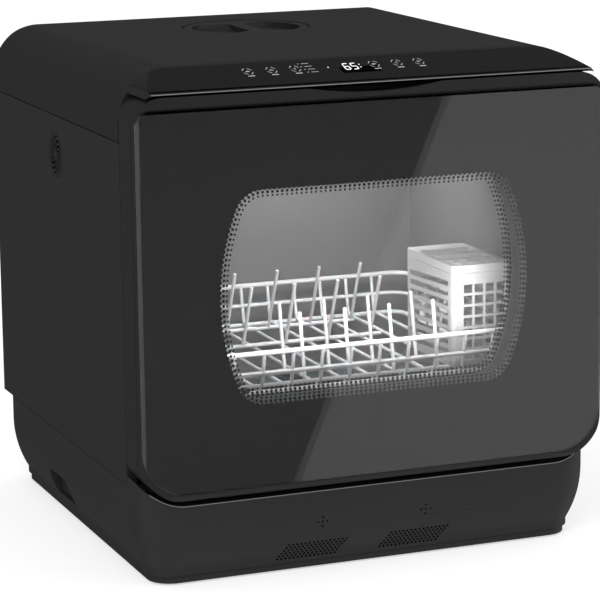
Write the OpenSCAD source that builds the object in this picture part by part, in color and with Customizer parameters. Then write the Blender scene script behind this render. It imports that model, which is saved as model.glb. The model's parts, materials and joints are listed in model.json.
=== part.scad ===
// Countertop dishwasher with a drop-down glass door, a pull-out rack and a top fill port.
// Millimetres. +Z is up, the door faces -Y, and the origin is on the floor under the middle.

/* [Casing] */
// Width across the side panels
casing_w = 420; // [410:1:460]
// Depth from the door glass to the back of the casing
casing_d = 426; // [420:1:470]
// Height from the floor to the flat top
casing_h = 435; // [430:1:470]
// Thickness of the moulded walls
wall = 2.5; // [2:0.1:3]
// Thickness of the side and back sheets
sheet = 1.5; // [1:0.1:1.8]
// Gap left between fixed pieces that meet
seat_gap = 0.3; // [0.2:0.05:0.4]
// Height of the top cover's sides, from their seam to the flat top
cover_side_h = 60; // [54:1:66]
// Height of the cover's nose, from the gap over the door to the flat top
nose_h = 17; // [15:0.5:19]
// Radius of the long side edges of the top cover
cover_r = 45; // [38:1:50]
// Depth of the sloping control face
slope_d = 56; // [54:1:60]
// Radius of the rear top edge of the cover
cover_rear_r = 9; // [4:1:14]

/* [Base] */
// Height of the seam between base housing and side panels
base_seam_z = 84; // [80:1:88]
// Height of the rubber feet below the bottom plate
foot_h = 1.6; // [1.2:0.1:3]
// Height at which the base housing starts
base_bottom_z = 8; // [7:0.5:10]
// Height of the straight band at the foot of the housing
base_band_h = 6; // [4:0.5:8]
// How far the foot of the housing is drawn in
base_inset = 13; // [8:0.5:16]
// Height over which the housing walls curve inwards
base_curve_h = 48; // [40:1:52]
// How far the base housing stands back from the door's face
base_setback = 8; // [6:0.5:12]
// Plan radius of the base housing's corners
base_corner_r = 34; // [24:1:40]

/* [Door] */
// Thickness of the door
door_t = 46; // [45:1:52]
// How far the door's sides flare outwards to the front
door_flare = 3.5; // [1:0.5:4]
// Height of the door's lower edge
door_bottom_z = 77; // [75:0.5:79]
// Gap between the door and the base under it
door_gap = 5; // [4:0.5:6]
// Gap between the door and the cover above it
door_top_gap = 1.5; // [1:0.1:2.5]
// Height of the cap moulding above the glass
door_cap_h = 9.5; // [8:0.5:12]
// Radius of the door's lower corners
door_low_r = 44; // [38:1:48]
// Radius of the door's upper corners
door_top_r = 26; // [22:1:30]
// Radius of the glass's upper corners
glass_top_r = 16; // [12:1:20]
// Width of the frame that shows round the glass
glass_border = 2.2; // [1.5:0.1:4]
// Thickness of the outer glass pane
glass_t = 4; // [3:0.5:5]
// Height of the door hinge axis
hinge_z = 92; // [91:0.5:94]
// Distance from the glass face back to the hinge axis
hinge_inset = 8; // [7.5:0.1:8.5]
// Distance of the hinge arms from the middle
hinge_x = 150; // [140:1:155]
// Radius of the hinge pins
hinge_pin_r = 2; // [1.8:0.1:2.2]
// Running clearance of pins and shafts, on the radius
run_gap = 0.05; // [0.03:0.01:0.08]

/* [Window] */
// Half width of the window at its widest
window_half_w = 140; // [130:1:145]
// Distance of the window's middle below the door's upper edge
window_drop = 171.5; // [168:0.5:174]
// Half height of the window
window_half_h = 91; // [84:1:92]
// Radius of the window's bulging sides
window_side_r = 200; // [170:5:260]
// Radius of the window's corners
window_corner_r = 26; // [20:1:32]

/* [Wash tub] */
// Room between the inside of the tub and the casing's side
tub_side_room = 28; // [27:0.5:31]
// Height of the tub floor
tub_floor_z = 100; // [99:0.5:101]
// Room between the tub's ceiling and the casing's flat top
tub_top_room = 79; // [77:1:84]
// Room between the inside of the tub and the casing's back, where the water tank stands
tub_rear_room = 79.2; // [78:0.1:84]
// Height of the sill at the tub's mouth
sill_h = 16; // [12:1:18]
// Wall of the tub
tub_wall = 2; // [1.5:0.1:2.5]
// Gap between the tip of the spray arm and the tub's front
arm_gap = 11; // [9:0.5:20]
// Radius of the spray arm's bearing post
arm_post_r = 8; // [7:0.5:9]

/* [Rack] */
// Gap between the dish rack's rim and the tub's side
rack_side_gap = 12; // [11:0.5:16]
// Height of the rack's floor wires
rack_z = 148; // [147:0.5:150]
// Height of the rack's rim above its floor wires
rack_rim_h = 36.5; // [32:0.5:40]
// Height of the rack's middle wire above its floor wires
rack_mid_h = 18; // [15:0.5:21]
// Wire radius of the rack's rims
rim_wire_r = 2.2; // [2:0.1:2.5]
// Wire radius of the floor wires and tines
tine_wire_r = 1.6; // [1.4:0.1:1.9]
// Length of the tines
tine_len = 64; // [50:1:70]
// Distance between neighbouring tines
tine_pitch = 42; // [38:0.5:48]

/* [Cutlery basket] */
// Width of the cutlery basket
basket_w = 57; // [50:1:60]
// Depth of the cutlery basket
basket_d = 100; // [90:1:110]
// Height of the cutlery basket
basket_h = 90; // [80:1:94]

/* [Fill port] */
// Radius of the fill cap
cap_r = 58; // [52:1:60]
// Distance of the cap's middle behind the casing's middle
cap_y = 94; // [86:1:98]
// Depth of the dish that the cap sits in
cap_dish = 8; // [6:0.5:9]

/* [Side fan] */
// Radius of the round side vent
vent_r = 20; // [17:0.5:21]
// Distance of the vent behind the casing's middle
vent_y = 16; // [0:1:30]
// Distance of the vent below the casing's flat top
vent_drop = 95; // [93:1:115]
// Number of blades on the fan
blade_count = 7; // [5:1:9]

/* [Services] */
// Outer radius of the water inlet's thread
inlet_r = 13.2; // [12:0.1:14]
// Outer radius of the drain spigot
drain_r = 9; // [8:0.5:11]
// Radius of the hole in the cord gland
cord_hole_r = 4; // [3:0.25:5]

/* [Hidden] */

far = 600;
front_y = -casing_d / 2;
back_y = casing_d / 2;
side_x = casing_w / 2;
door_back_y = front_y + door_t;
panel_front_y = door_back_y + 1;
cover_seam_z = casing_h - cover_side_h;
cover_bottom_front_z = casing_h - nose_h;
door_top_z = cover_bottom_front_z - door_top_gap;
window_z = door_top_z - window_drop;
vent_z = casing_h - vent_drop;
glass_top_z = door_top_z - door_cap_h;
glass_bottom_z = door_bottom_z + 7;
hinge_y = front_y + hinge_inset;
door_half = side_x + door_flare;
tub_front_y = panel_front_y + sheet + seat_gap;
tub_back_y = back_y - tub_rear_room;
tub_half_w = side_x - tub_side_room;
tub_top_z = casing_h - tub_top_room;
arm_y = (tub_front_y + tub_back_y) / 2;
arm_len = arm_y - tub_front_y - arm_gap;
rack_half_w = tub_half_w - rack_side_gap;
rack_front_y = tub_front_y + 11;
rack_back_y = tub_back_y - 12;
rack_rim_z = rack_z + rack_rim_h;
floor_inset = 8;
basket_x = rack_half_w - floor_inset - basket_w - 3;
basket_y = rack_front_y + floor_inset + 7;
basket_z = rack_z + 2 * tine_wire_r + seat_gap;
grid_t = 7;
cap_bottom_z = casing_h - cap_dish + seat_gap;
port_r = cap_r - 8;
tank_top_z = tub_top_z + 17;
slope_back_y = front_y + slope_d;
slope_front_z = cover_bottom_front_z + 1.5;
lift_y = 19;
lift_len = 60;
lift_z = 16;
lift_h = 24;
lift_depth = 16;
hole_group_x = 48;
hole_group_z = 44;
hole_step = 4.2;
hole_cross = [[0, 0], [hole_step, 0], [-hole_step, 0], [0, hole_step], [0, -hole_step]];
service_z = 60;
inlet_x = 130;
drain_x = 40;
cord_x = -130;
gland_r = 9;
// Room round the pipe ends in the back wall, for the hose ends that slide over them.
sleeve_room = 0.95;
bay_y = back_y - 25;
service_spans = [[-156, -104], [16, 156]];
post_x = 122;
rack_wire_step = 27;
foot_r = 9;
foot_x = side_x - 50;
foot_y = back_y - 63;
screw_r = 1.6;
screw_heights = [base_seam_z + 26, (base_seam_z + cover_seam_z) / 2, cover_seam_z - 25];
// The glossy strip is sunk this deep into the sloping face.
strip_t = 1.6;
strip_half_w = side_x - 13;
display_x = -4;
display_y = front_y + 26;
display_w = 34;
display_d = 12;
tank_y = tub_back_y + tub_wall + 4;
sump_r = 70;
float_x = 32 - tub_half_w;
float_y = rack_front_y + 22;
rail_h = 14;
filter_r = 22;
filter_y = arm_y + 42;
stub_r = 8.7;
stub_z = 74;
heater_r = arm_y - tub_front_y - 37;
heater_leg_x = 12;
gap_angle = asin(heater_leg_x / heater_r);
heater_leg_y = arm_y + heater_r * cos(gap_angle);
arm_z = tub_floor_z + 17;
lamp_y = rack_front_y + 90;
// Each row of tines: its y, first x, number of tines and lean backwards.
tine_rows = [[rack_front_y + 13, -39, 4, 11], [rack_front_y + 53, -42, 4, 12],
             [rack_back_y - 112, -124, 6, -25], [rack_back_y - 47, -116, 6, -25]];
hinge_arm_t = 5;
hinge_eye_r = hinge_pin_r + 1.6;
liner_t = 2.5;
pin_len = 20;
scoop_half = 60;
scoop_drop = 5.5;
scoop_r = (pow(scoop_half, 2) + pow(scoop_drop, 2)) / (2 * scoop_drop);
// Behind this depth the door's top is lower, so that its rear edge swings clear of the cover.
swing_d = 28;
swing_drop = 1.8;
pane_y = door_back_y - 12;
latch_z = cover_bottom_front_z - 20;
latch_w = 22;
cup_w = 56;
cup_x = 7 - tub_half_w;
cup_z = tub_floor_z + sill_h + 5;
cup_h = 30;
lid_w = 30;
fan_front = -side_x + 3.2;
fan_depth = tub_side_room - tub_wall - 5;
pump_z = 46;
pump_r = 30;
bend_r = 14;
hose_r = stub_r + 2.8;
bend_x = sump_r + 20;
pump_x = bend_x + 2 * bend_r + 12;
plate_top_z = foot_h + wall + seat_gap;
drain_pump_y = back_y - 90;

$fn = 48;

// ---------------------------------------------------------------- shared forms

// Extrudes a drawing of x and z along Y, from y0 to y1.
module along_y(y0, y1) {
  translate([0, y1, 0])
    rotate([90, 0, 0])
      linear_extrude(y1 - y0) children();
}

// Extrudes a drawing of y and z along X, from x0 to x1.
module along_x(x0, x1) {
  translate([x0, 0, 0])
    rotate([90, 0, 90])
      linear_extrude(x1 - x0) children();
}

// A rectangle from corner to corner, with one radius at its lower and one at its upper corners.
module soft_rect(x0, x1, z0, z1, r_low, r_high) {
  translate([x0, z0 + r_low])
    square([x1 - x0, z1 - z0 - r_low - r_high]);
  translate([x0 + r_low, z0])
    square([x1 - x0 - 2 * r_low, r_low]);
  translate([x0 + r_high, z1 - r_high])
    square([x1 - x0 - 2 * r_high, r_high]);
  for (x = [x0 + r_low, x1 - r_low])
    translate([x, z0 + r_low]) circle(r_low);
  for (x = [x0 + r_high, x1 - r_high])
    translate([x, z1 - r_high]) circle(r_high);
}

// The same rectangle, centred on X.
module soft_slab(half_w, z0, z1, r_low, r_high) {
  soft_rect(-half_w, half_w, z0, z1, r_low, r_high);
}

// Copies its children to the left and the right side.
module both_sides() {
  children();
  mirror([1, 0, 0]) children();
}

// A straight wire between two points, as an eight-sided bar.
module wire(a, b, r) {
  d = b - a;
  len = norm(d);
  translate(a)
    rotate([0, acos(d[2] / len), atan2(d[1], d[0])])
      cylinder(h = len, r = r, $fn = 8);
}

// ---------------------------------------------------------------- outlines

// Front view of the casing above the base, with the cover's rolled side edges.
module cover_front_2d(inset) {
  soft_slab(side_x - inset, 0, casing_h - inset, 1, cover_r - inset);
}

// Side view of the casing, with the sloping control face at the front.
module cover_side_2d(inset) {
  top = casing_h - inset;
  nose = front_y + inset;
  slope_z = slope_front_z - inset;
  rear = back_y - 1 - inset;
  r = cover_rear_r - inset / 2;
  polygon([[nose, slope_z], [nose, 0], [rear - r, 0], [rear - r, top], [slope_back_y, top]]);
  translate([rear - r - 1, 0])
    square([r + 1, top - r]);
  translate([rear - r, top - r]) circle(r);
}

// The outer form of the top cover, drawn in by inset.
module cover_form(inset) {
  intersection() {
    along_y(front_y - 1, back_y + 1) cover_front_2d(inset);
    along_x(-side_x, side_x) cover_side_2d(inset);
  }
}

// Front view of the door, grown by grow.
module door_2d(grow) {
  soft_slab(door_half + grow, door_bottom_z - grow, door_top_z + grow, door_low_r + grow,
            door_top_r + grow);
}

// Front view of the glass and the frame under the cap, grown by grow.
module frame_2d(grow) {
  soft_slab(door_half + grow, door_bottom_z - grow, glass_top_z + grow, door_low_r + grow,
            glass_top_r + grow);
}

// Front view of the window, with bulging sides, grown by grow.
module window_2d(grow) {
  side_r = window_side_r + grow;
  half_h = window_half_h + grow;
  corner = window_corner_r + grow;
  arc_x = window_side_r - window_half_w;
  reach = sqrt(pow(side_r - corner, 2) - pow(half_h - corner, 2));
  tangent = (half_h - corner) * side_r / (side_r - corner);
  translate([0, window_z]) {
    square([2 * (reach - arc_x), 2 * half_h], center = true);
    intersection() {
      square([2 * far, 2 * tangent], center = true);
      translate([arc_x, 0]) circle(side_r, $fn = 96);
      translate([-arc_x, 0]) circle(side_r, $fn = 96);
    }
    for (x = [arc_x - reach, reach - arc_x], z = [corner - half_h, half_h - corner])
      translate([x, z]) circle(corner);
  }
}

// Side view of the door, with its rounded long edges.
module door_side_2d(front, rear) {
  front_r = 8;
  rear_r = 12;
  rear_mid = rear - rear_r;
  translate([front + front_r, door_bottom_z])
    square([rear_mid - front - front_r, far]);
  translate([front, door_bottom_z + front_r])
    square([front_r + 1, far - front_r]);
  translate([rear_mid - 1, door_bottom_z + rear_r])
    square([rear_r + 1, far - rear_r]);
  translate([front + front_r, door_bottom_z + front_r]) circle(front_r);
  translate([rear_mid, door_bottom_z + rear_r]) circle(rear_r);
}

// The door seen from above: its sides flare to the front, where the corners are rounded.
module door_plan() {
  r = 7;
  translate([0, 0, -1])
    linear_extrude(far) {
      polygon([[-side_x, door_back_y], [-door_half, front_y + r], [door_half, front_y + r],
               [side_x, door_back_y]]);
      translate([r - door_half, front_y]) square([2 * (door_half - r), r + 1]);
      for (x = [r - door_half, door_half - r])
        translate([x, front_y + r]) circle(r);
    }
}

// ---------------------------------------------------------------- base

// Half of the housing's outline, from a middle line out to half_w, curved inwards below.
module base_profile_2d(half_w, top) {
  curve_z = base_bottom_z + base_band_h + base_curve_h;
  curve_r = (pow(base_curve_h, 2) + pow(base_inset, 2)) / (2 * base_inset);
  intersection() {
    square([half_w, top]);
    union() {
      translate([0, curve_z]) square([half_w, top]);
      square([half_w - base_inset, curve_z + 1]);
      translate([half_w - curve_r, curve_z]) circle(curve_r - 0.001, $fn = 96);
    }
  }
}

// Outer form of the base housing: rounded in plan, curved inwards below.
module base_form(inset, bottom) {
  top = 2 * base_seam_z;
  r = base_corner_r;
  x = side_x - r;
  front = front_y + base_setback + r;
  rear = back_y - 1 - r;
  intersection() {
    translate([-far, -far, bottom]) cube([2 * far, 2 * far, top]);
    union() {
      for (turn = [0, 1])
        mirror([turn, 0, 0])
          along_y(front, rear)
            translate([x - r, 0]) base_profile_2d(2 * r - inset, top);
      for (turn = [0, 1])
        translate([0, turn == 0 ? front : rear, 0])
          mirror([0, 1 - turn, 0])
            translate([0, -r, 0])
              along_x(-x, x) base_profile_2d(2 * r - inset, top);
      for (cx = [-x, x], cy = [front, rear])
        translate([cx, cy, 0]) rotate_extrude() base_profile_2d(r - inset, top);
      translate([r - x - 1, front, 0]) cube([2 * (x - r) + 2, rear - front, top]);
    }
  }
}

// Space kept free round the door, over the base and under the cover.
module door_space(low_gap, top_gap, rear) {
  along_y(front_y - 5, rear)
    soft_slab(door_half + low_gap, door_bottom_z - low_gap, door_top_z + top_gap,
              door_low_r + low_gap, door_top_r + top_gap);
}

// The recess at each side that fingers lift the machine by.
module lift_recess(grow) {
  along_x(-side_x - 1, -side_x + lift_depth + grow)
    soft_rect(lift_y - grow, lift_y + lift_len + grow, lift_z - grow, lift_z + lift_h + grow,
              5 + grow, 10 + grow);
}

// The ribs that stand on the bottom plate and carry the tub and the tank.
module base_posts() {
  bottom = foot_h + wall - 0.01;
  top = tub_floor_z - tub_wall - seat_gap;
  for (x = [-post_x - 3, post_x - 3], y = [tub_front_y + 40, tub_back_y - 50, tub_back_y + 10])
    translate([x, y, bottom]) cube([6, 30, top - bottom]);
}

// The pockets in the back wall that the pipes and the cord come out in.
module service_recess(grow) {
  for (span = service_spans)
    along_y(bay_y - grow, back_y + 1)
      soft_rect(span[0] - grow, span[1] + grow, service_z - 20 - grow, service_z + 20 + grow,
                6 + grow, 6 + grow);
}

module base_housing() {
  color("#343434")
    difference() {
      base_form(0, base_bottom_z);
      difference() {
        base_form(wall, base_bottom_z - 1);
        door_space(door_gap + wall, door_top_gap, door_back_y + 2 * wall);
        both_sides() lift_recess(wall);
        service_recess(wall);
      }
      door_space(door_gap, door_top_gap, door_back_y + wall);
      translate([-side_x - 1, panel_front_y - seat_gap, base_seam_z])
        cube([casing_w + 2, casing_d, far]);
      both_sides() lift_recess(0);
      service_recess(0);
      // Plus-shaped groups of small holes.
      for (x = [-hole_group_x, hole_group_x], step = hole_cross)
        translate([x + step[0], front_y, hole_group_z + step[1]])
          rotate([-90, 0, 0]) cylinder(h = 16, r = 1, $fn = 6);
      translate([inlet_x, 0, service_z]) back_bore(inlet_r + sleeve_room);
      translate([drain_x, 0, service_z]) back_bore(drain_r + sleeve_room);
      translate([cord_x, 0, service_z]) back_bore(gland_r + seat_gap);
    }
}

// A hole through the base housing's back wall.
module back_bore(r) {
  translate([0, bay_y - 2 * wall, 0]) rotate([-90, 0, 0]) cylinder(h = 4 * wall, r = r);
}

module base_plate() {
  inset = base_inset + 2;
  half_w = side_x - inset;
  front = front_y + base_setback + inset;
  rear = back_y - 1 - inset;
  r = base_corner_r - inset + 2;
  color("#2b2b2b")
    difference() {
      union() {
        difference() {
          translate([0, 0, foot_h])
            linear_extrude(base_bottom_z - foot_h) soft_rect(-half_w, half_w, front, rear, r, r);
          translate([0, 0, foot_h + wall])
            linear_extrude(base_bottom_z)
              soft_rect(wall - half_w, half_w - wall, front + wall, rear - wall, r - wall, r - wall);
        }
        base_posts();
      }
      feet_at() translate([0, 0, -1]) cylinder(h = foot_h + 2, r = foot_r - 2);
    }
}

module feet_at() {
  for (x = [-foot_x, foot_x], y = [-foot_y, foot_y])
    translate([x, y, 0]) children();
}

module rubber_feet() {
  color("#1a1a1a")
    feet_at() {
      cylinder(h = foot_h - 0.01, r = foot_r);
      cylinder(h = foot_h + 0.9, r = foot_r - 2.2);
    }
}

// ---------------------------------------------------------------- casing

// One bent side sheet, with its flanges at the front and the rear.
module side_sheet() {
  rear = back_y - 1;
  flange = 9;
  difference() {
    translate([0, 0, base_seam_z + seat_gap])
      linear_extrude(cover_seam_z - base_seam_z - 2 * seat_gap) {
        translate([side_x - sheet, panel_front_y]) square([sheet, rear - panel_front_y]);
        translate([side_x - flange, panel_front_y]) square([flange - 0.2, sheet]);
        translate([side_x - flange - 6, rear - sheet]) square([flange + 5.8, sheet]);
      }
    for (z = screw_heights)
      translate([side_x - 9, rear - 10, z]) rotate([-90, 0, 0]) cylinder(h = 20, r = screw_r + 0.2);
  }
}

module side_panel_left() {
  color("#2f2f2f")
    difference() {
      mirror([1, 0, 0]) side_sheet();
      translate([-side_x - 1, vent_y, vent_z])
        rotate([0, 90, 0]) cylinder(h = 5, r = vent_r + seat_gap);
    }
}

module side_panel_right() {
  color("#2f2f2f") side_sheet();
}

module back_panel() {
  rear = back_y - 1 - sheet - seat_gap;
  color("#303030")
    difference() {
      translate([-side_x + sheet + seat_gap, rear - sheet, base_seam_z + seat_gap])
        cube([casing_w - 2 * sheet - 2 * seat_gap, sheet,
              cover_seam_z - base_seam_z - 2 * seat_gap]);
      for (x = [9 - side_x, side_x - 9], z = screw_heights)
        translate([x, rear - 5, z]) rotate([-90, 0, 0]) cylinder(h = 10, r = screw_r + 0.2);
      for (x = [-60:12:60], z = [120, 150])
        along_slot(x, z, rear);
    }
}

// One upright cooling slot in the back sheet.
module along_slot(x, z, rear) {
  along_y(rear - 5, rear + 5)
    soft_rect(x - 2, x + 2, z, z + 22, 1.9, 1.9);
}

module panel_screws() {
  head_y = back_y - 1 + 0.01;
  head_t = 0.99;
  color("#8a8a8a")
    for (x = [9 - side_x, side_x - 9], z = screw_heights)
      translate([x, head_y, z])
        rotate([90, 0, 0]) {
          translate([0, 0, -head_t])
            difference() {
              cylinder(h = head_t + 0.01, r = 3);
              translate([0, 0, -0.5]) cylinder(h = 1, r = 1.2, $fn = 4);
            }
          cylinder(h = 8, r = screw_r);
        }
}

module strip_zone(extra) {
  translate([-strip_half_w - extra, front_y + 2 - extra, cover_bottom_front_z - 30])
    cube([2 * (strip_half_w + extra), slope_back_y - front_y - 6 + 2 * extra, 60]);
}

module top_cover() {
  rim = cover_seam_z + seat_gap;
  color("#2d2d2d")
    difference() {
      union() {
        difference() {
          cover_form(0);
          difference() {
            cover_form(wall);
            door_space(door_gap, door_top_gap + wall, door_back_y + 2 * wall);
            translate([0, cap_y, casing_h - cap_dish - wall])
              cylinder(h = far, r = cap_r + 2 * wall);
            intersection() {
              strip_zone(wall);
              difference() {
                translate([-far, -far, 0]) cube([2 * far, 2 * far, far]);
                cover_form(strip_t + wall);
              }
            }
          }
          translate([-far, -far, -1]) cube([2 * far, 2 * far, rim + 1]);
        }
      }
      door_space(door_gap, door_top_gap, door_back_y + wall);
      intersection() {
        strip_zone(0.1);
        difference() {
          translate([-far, -far, 0]) cube([2 * far, 2 * far, far]);
          cover_form(strip_t);
        }
      }
      translate([0, cap_y, casing_h - cap_dish]) cylinder(h = far, r = cap_r + 1.2);
      translate([0, cap_y, 0]) cylinder(h = far, r = port_r);
      // Way through for the door's latch hook.
      translate([-latch_w / 2 - 2, panel_front_y - 10, latch_z - 4]) cube([latch_w + 4, 20, 12]);
    }
}

module control_panel() {
  color("#101010")
    difference() {
      intersection() {
        cover_form(0);
        strip_zone(-0.1);
      }
      cover_form(strip_t - 0.1);
      translate([display_x - display_w / 2, display_y - display_d / 2, 0])
        cube([display_w, display_d, far]);
    }
}

module display_window() {
  color("#050505")
    intersection() {
      difference() {
        cover_form(0.05);
        cover_form(strip_t - 0.1);
      }
      translate([display_x - display_w / 2 + 0.1, display_y - display_d / 2 + 0.1, 0])
        cube([display_w - 0.2, display_d - 0.2, far]);
    }
}

module control_board() {
  board_z = cover_bottom_front_z + wall + seat_gap;
  board_y = slope_back_y - 20;
  color("#1f5a34")
    difference() {
      union() {
        translate([-120, board_y, board_z]) cube([240, 22, 1.6]);
        for (x = [-90, -30, 30, 90])
          translate([x - 12, board_y + 8, board_z + 1.5]) cube([24, 10, 1.6]);
      }
      for (x = [-112, 112]) translate([x, board_y + 14, board_z - 1]) cylinder(h = 5, r = 1.6);
    }
}

// ---------------------------------------------------------------- fill port and tank

module fill_cap() {
  top = casing_h - 0.6;
  scoop_r = 30;
  color("#2a2a2a")
    translate([0, cap_y, 0])
      difference() {
        union() {
          translate([0, 0, cap_bottom_z]) cylinder(h = top - cap_bottom_z, r = cap_r);
          translate([0, 0, cap_bottom_z - 12]) cylinder(h = 12, r = port_r - 4);
        }
        translate([0, 0, cap_bottom_z - 13]) cylinder(h = 12, r = port_r - 7);
        for (side = [-1, 1])
          translate([0, 0, top - 5])
            intersection() {
              cylinder(h = far, r = cap_r - 8);
              translate([side * (scoop_r + 7), 0, 0])
                cube([2 * scoop_r, 2 * cap_r, far], center = true);
              translate([side * (scoop_r + 7), 0, 64]) sphere(r = 72, $fn = 96);
            }
        }
}

module fill_gasket() {
  color("#4a4a4a")
    translate([0, cap_y, cap_bottom_z - 7])
      rotate_extrude() translate([port_r - 2.1, 0]) circle(1.7, $fn = 24);
}

module fill_port() {
  top = casing_h - cap_dish - wall - seat_gap;
  color("#3b3b3b")
    translate([0, cap_y, 0])
      difference() {
        union() {
          translate([0, 0, top - 3]) cylinder(h = 3, r = port_r + 7);
          translate([0, 0, tank_top_z + 18]) cylinder(h = top - tank_top_z - 18, r = port_r + wall);
        }
        translate([0, 0, tank_top_z]) cylinder(h = far, r = port_r);
      }
}

module fill_duct() {
  z0 = tank_top_z + seat_gap;
  z1 = tank_top_z + 18 - seat_gap;
  color("#3b3b3b")
    difference() {
      translate([0, 0, z0])
        linear_extrude(z1 - z0) soft_slab(port_r + wall, cap_y - port_r - wall, back_y - 12, 20, 8);
      translate([0, 0, z0 + wall])
        linear_extrude(z1 - z0 - 2 * wall)
          soft_slab(port_r, cap_y - port_r, back_y - 12 - wall, 18, 6);
      translate([0, cap_y, z0 + wall + 1]) cylinder(h = far, r = port_r - 1);
      translate([0, tank_y + 28, z0 - 1]) cylinder(h = wall + 2, r = 18);
    }
}

module water_tank() {
  half_w = 168;
  bottom = tub_floor_z + seat_gap;
  color("#b9bcc0")
    difference() {
      translate([0, 0, bottom])
        linear_extrude(tank_top_z - bottom) soft_slab(half_w, tank_y, back_y - 9, 10, 10);
      translate([0, 0, bottom + wall])
        linear_extrude(tank_top_z - bottom - 2 * wall)
          soft_slab(half_w - wall, tank_y + wall, back_y - 9 - wall, 8, 8);
      translate([0, tank_y + 28, bottom + 20]) cylinder(h = far, r = 18);
    }
}

// ---------------------------------------------------------------- tub and wash system

module tub_mouth_2d(grow) {
  soft_slab(tub_half_w + grow, tub_floor_z + sill_h - grow, tub_top_z + grow, 12 + grow,
            18 + grow);
}

// The frame round the tub's mouth, whose lower bar is the sill.
module tub_frame() {
  color("#b4b7ba")
    difference() {
      along_y(tub_front_y, tub_front_y + tub_wall)
        soft_slab(side_x - sheet - 3, tub_floor_z - tub_wall, cover_seam_z - 1, 6, 6);
      along_y(tub_front_y - 1, tub_front_y + tub_wall + 1) tub_mouth_2d(0);
    }
}

module tub() {
  front = tub_front_y + tub_wall + seat_gap;
  color("#b4b7ba")
    difference() {
      along_y(front, tub_back_y + tub_wall)
        soft_slab(tub_half_w + tub_wall, tub_floor_z - tub_wall, tub_top_z + tub_wall, 20, 20);
      along_y(front - 1, tub_back_y)
        soft_slab(tub_half_w, tub_floor_z, tub_top_z, 18, 18);
      translate([0, arm_y, tub_floor_z - 5]) cylinder(h = 10, r = sump_r);
      translate([float_x, float_y, tub_floor_z - 5]) cylinder(h = 10, r = 4);
      translate([-tub_half_w - 5, vent_y, vent_z])
        rotate([0, 90, 0]) cylinder(h = 10, r = vent_r - 6);
      for (x = [-heater_leg_x, heater_leg_x])
        translate([x, heater_leg_y, tub_floor_z - 5]) cylinder(h = 10, r = 4.2);
      translate([0, lamp_y, tub_top_z - 1]) cylinder(h = 10, r = 10);
    }
}

module tub_seal() {
  color("#1d1d1d")
    along_y(door_back_y + seat_gap, tub_front_y)
      difference() {
        tub_mouth_2d(9.5);
        tub_mouth_2d(3);
      }
}

module rack_rails() {
  color("#cfd2d4")
    both_sides()
      difference() {
        translate([tub_half_w - 8, rack_front_y + 6, rack_z - 4])
          cube([8 - seat_gap, rack_back_y - rack_front_y - 12, rail_h]);
        translate([tub_half_w - 9, rack_front_y + 5, rack_z - 1])
          cube([6, rack_back_y - rack_front_y, rail_h - 6]);
      }
}

module filter_plate() {
  top = tub_floor_z + seat_gap + 1.4;
  color("#aeb2b6")
    difference() {
      translate([0, arm_y, tub_floor_z + seat_gap]) cylinder(h = 1.4, r = sump_r + 8);
      translate([0, arm_y, tub_floor_z - 1]) cylinder(h = 5, r = arm_post_r + 1);
      translate([0, filter_y, tub_floor_z - 1]) cylinder(h = 5, r = filter_r + seat_gap);
      // Rings of drain holes, left out where the filter cup stands.
      for (ring_r = [24, 34, 44, 54], i = [0:23])
        if (abs(i * 15 + 7.5 - 90) > 45)
          translate([0, arm_y, top - 3])
            rotate([0, 0, i * 15 + 7.5])
              translate([ring_r, 0, 0]) cylinder(h = 5, r = 1.4, $fn = 6);
    }
}

module filter_cup() {
  color("#8f9498")
    translate([0, filter_y, 0])
      difference() {
        union() {
          translate([0, 0, tub_floor_z - 26]) cylinder(h = 26 + 2, r = filter_r - 0.5);
          translate([0, 0, tub_floor_z + seat_gap + 1.7]) cylinder(h = 2, r = filter_r + 3);
          translate([-2, -12, tub_floor_z + 3]) cube([4, 24, 9]);
        }
        translate([0, 0, tub_floor_z - 24]) cylinder(h = 25, r = filter_r - 2.5);
        for (a = [0:30:359], z = [-20, -13, -6])
          rotate([0, 0, a])
            translate([filter_r - 4, 0, tub_floor_z + z])
              rotate([0, 90, 0]) cylinder(h = 8, r = 1.8, $fn = 6);
      }
}

module sump() {
  floor_z = 62;
  color("#4b4e52")
    difference() {
      union() {
        translate([0, arm_y, floor_z])
          cylinder(h = tub_floor_z - tub_wall - seat_gap - floor_z, r = sump_r + 1);
        translate([0, arm_y, tub_floor_z - tub_wall - seat_gap - 2])
          cylinder(h = 2, r = sump_r + 8);
        // Outlet stubs towards the wash pump and the drain pump.
        translate([sump_r - 4, arm_y, stub_z]) rotate([0, 90, 0]) cylinder(h = 22, r = stub_r);
        translate([drain_x, arm_y + sump_r - 16, stub_z])
          rotate([-90, 0, 0]) cylinder(h = 34, r = stub_r);
      }
      translate([0, arm_y, floor_z + 2]) cylinder(h = 60, r = sump_r - 1);
      translate([sump_r - 8, arm_y, stub_z]) rotate([0, 90, 0]) cylinder(h = 40, r = stub_r - 2);
      translate([drain_x, arm_y + sump_r - 22, stub_z])
        rotate([-90, 0, 0]) cylinder(h = 60, r = stub_r - 2);
      translate([0, arm_y, floor_z - 1]) cylinder(h = 10, r = 5);
    }
}

module heater() {
  z = tub_floor_z + 4.6;
  color("#9a9da0")
    translate([0, arm_y, z]) {
      rotate([0, 0, 90 + gap_angle])
        rotate_extrude(angle = 360 - 2 * gap_angle)
          translate([heater_r, 0]) circle(3.8, $fn = 24);
      for (side = [-1, 1])
        translate([side * heater_leg_x, heater_leg_y - arm_y, -22]) cylinder(h = 22, r = 3.9, $fn = 24);
    }
}

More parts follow.
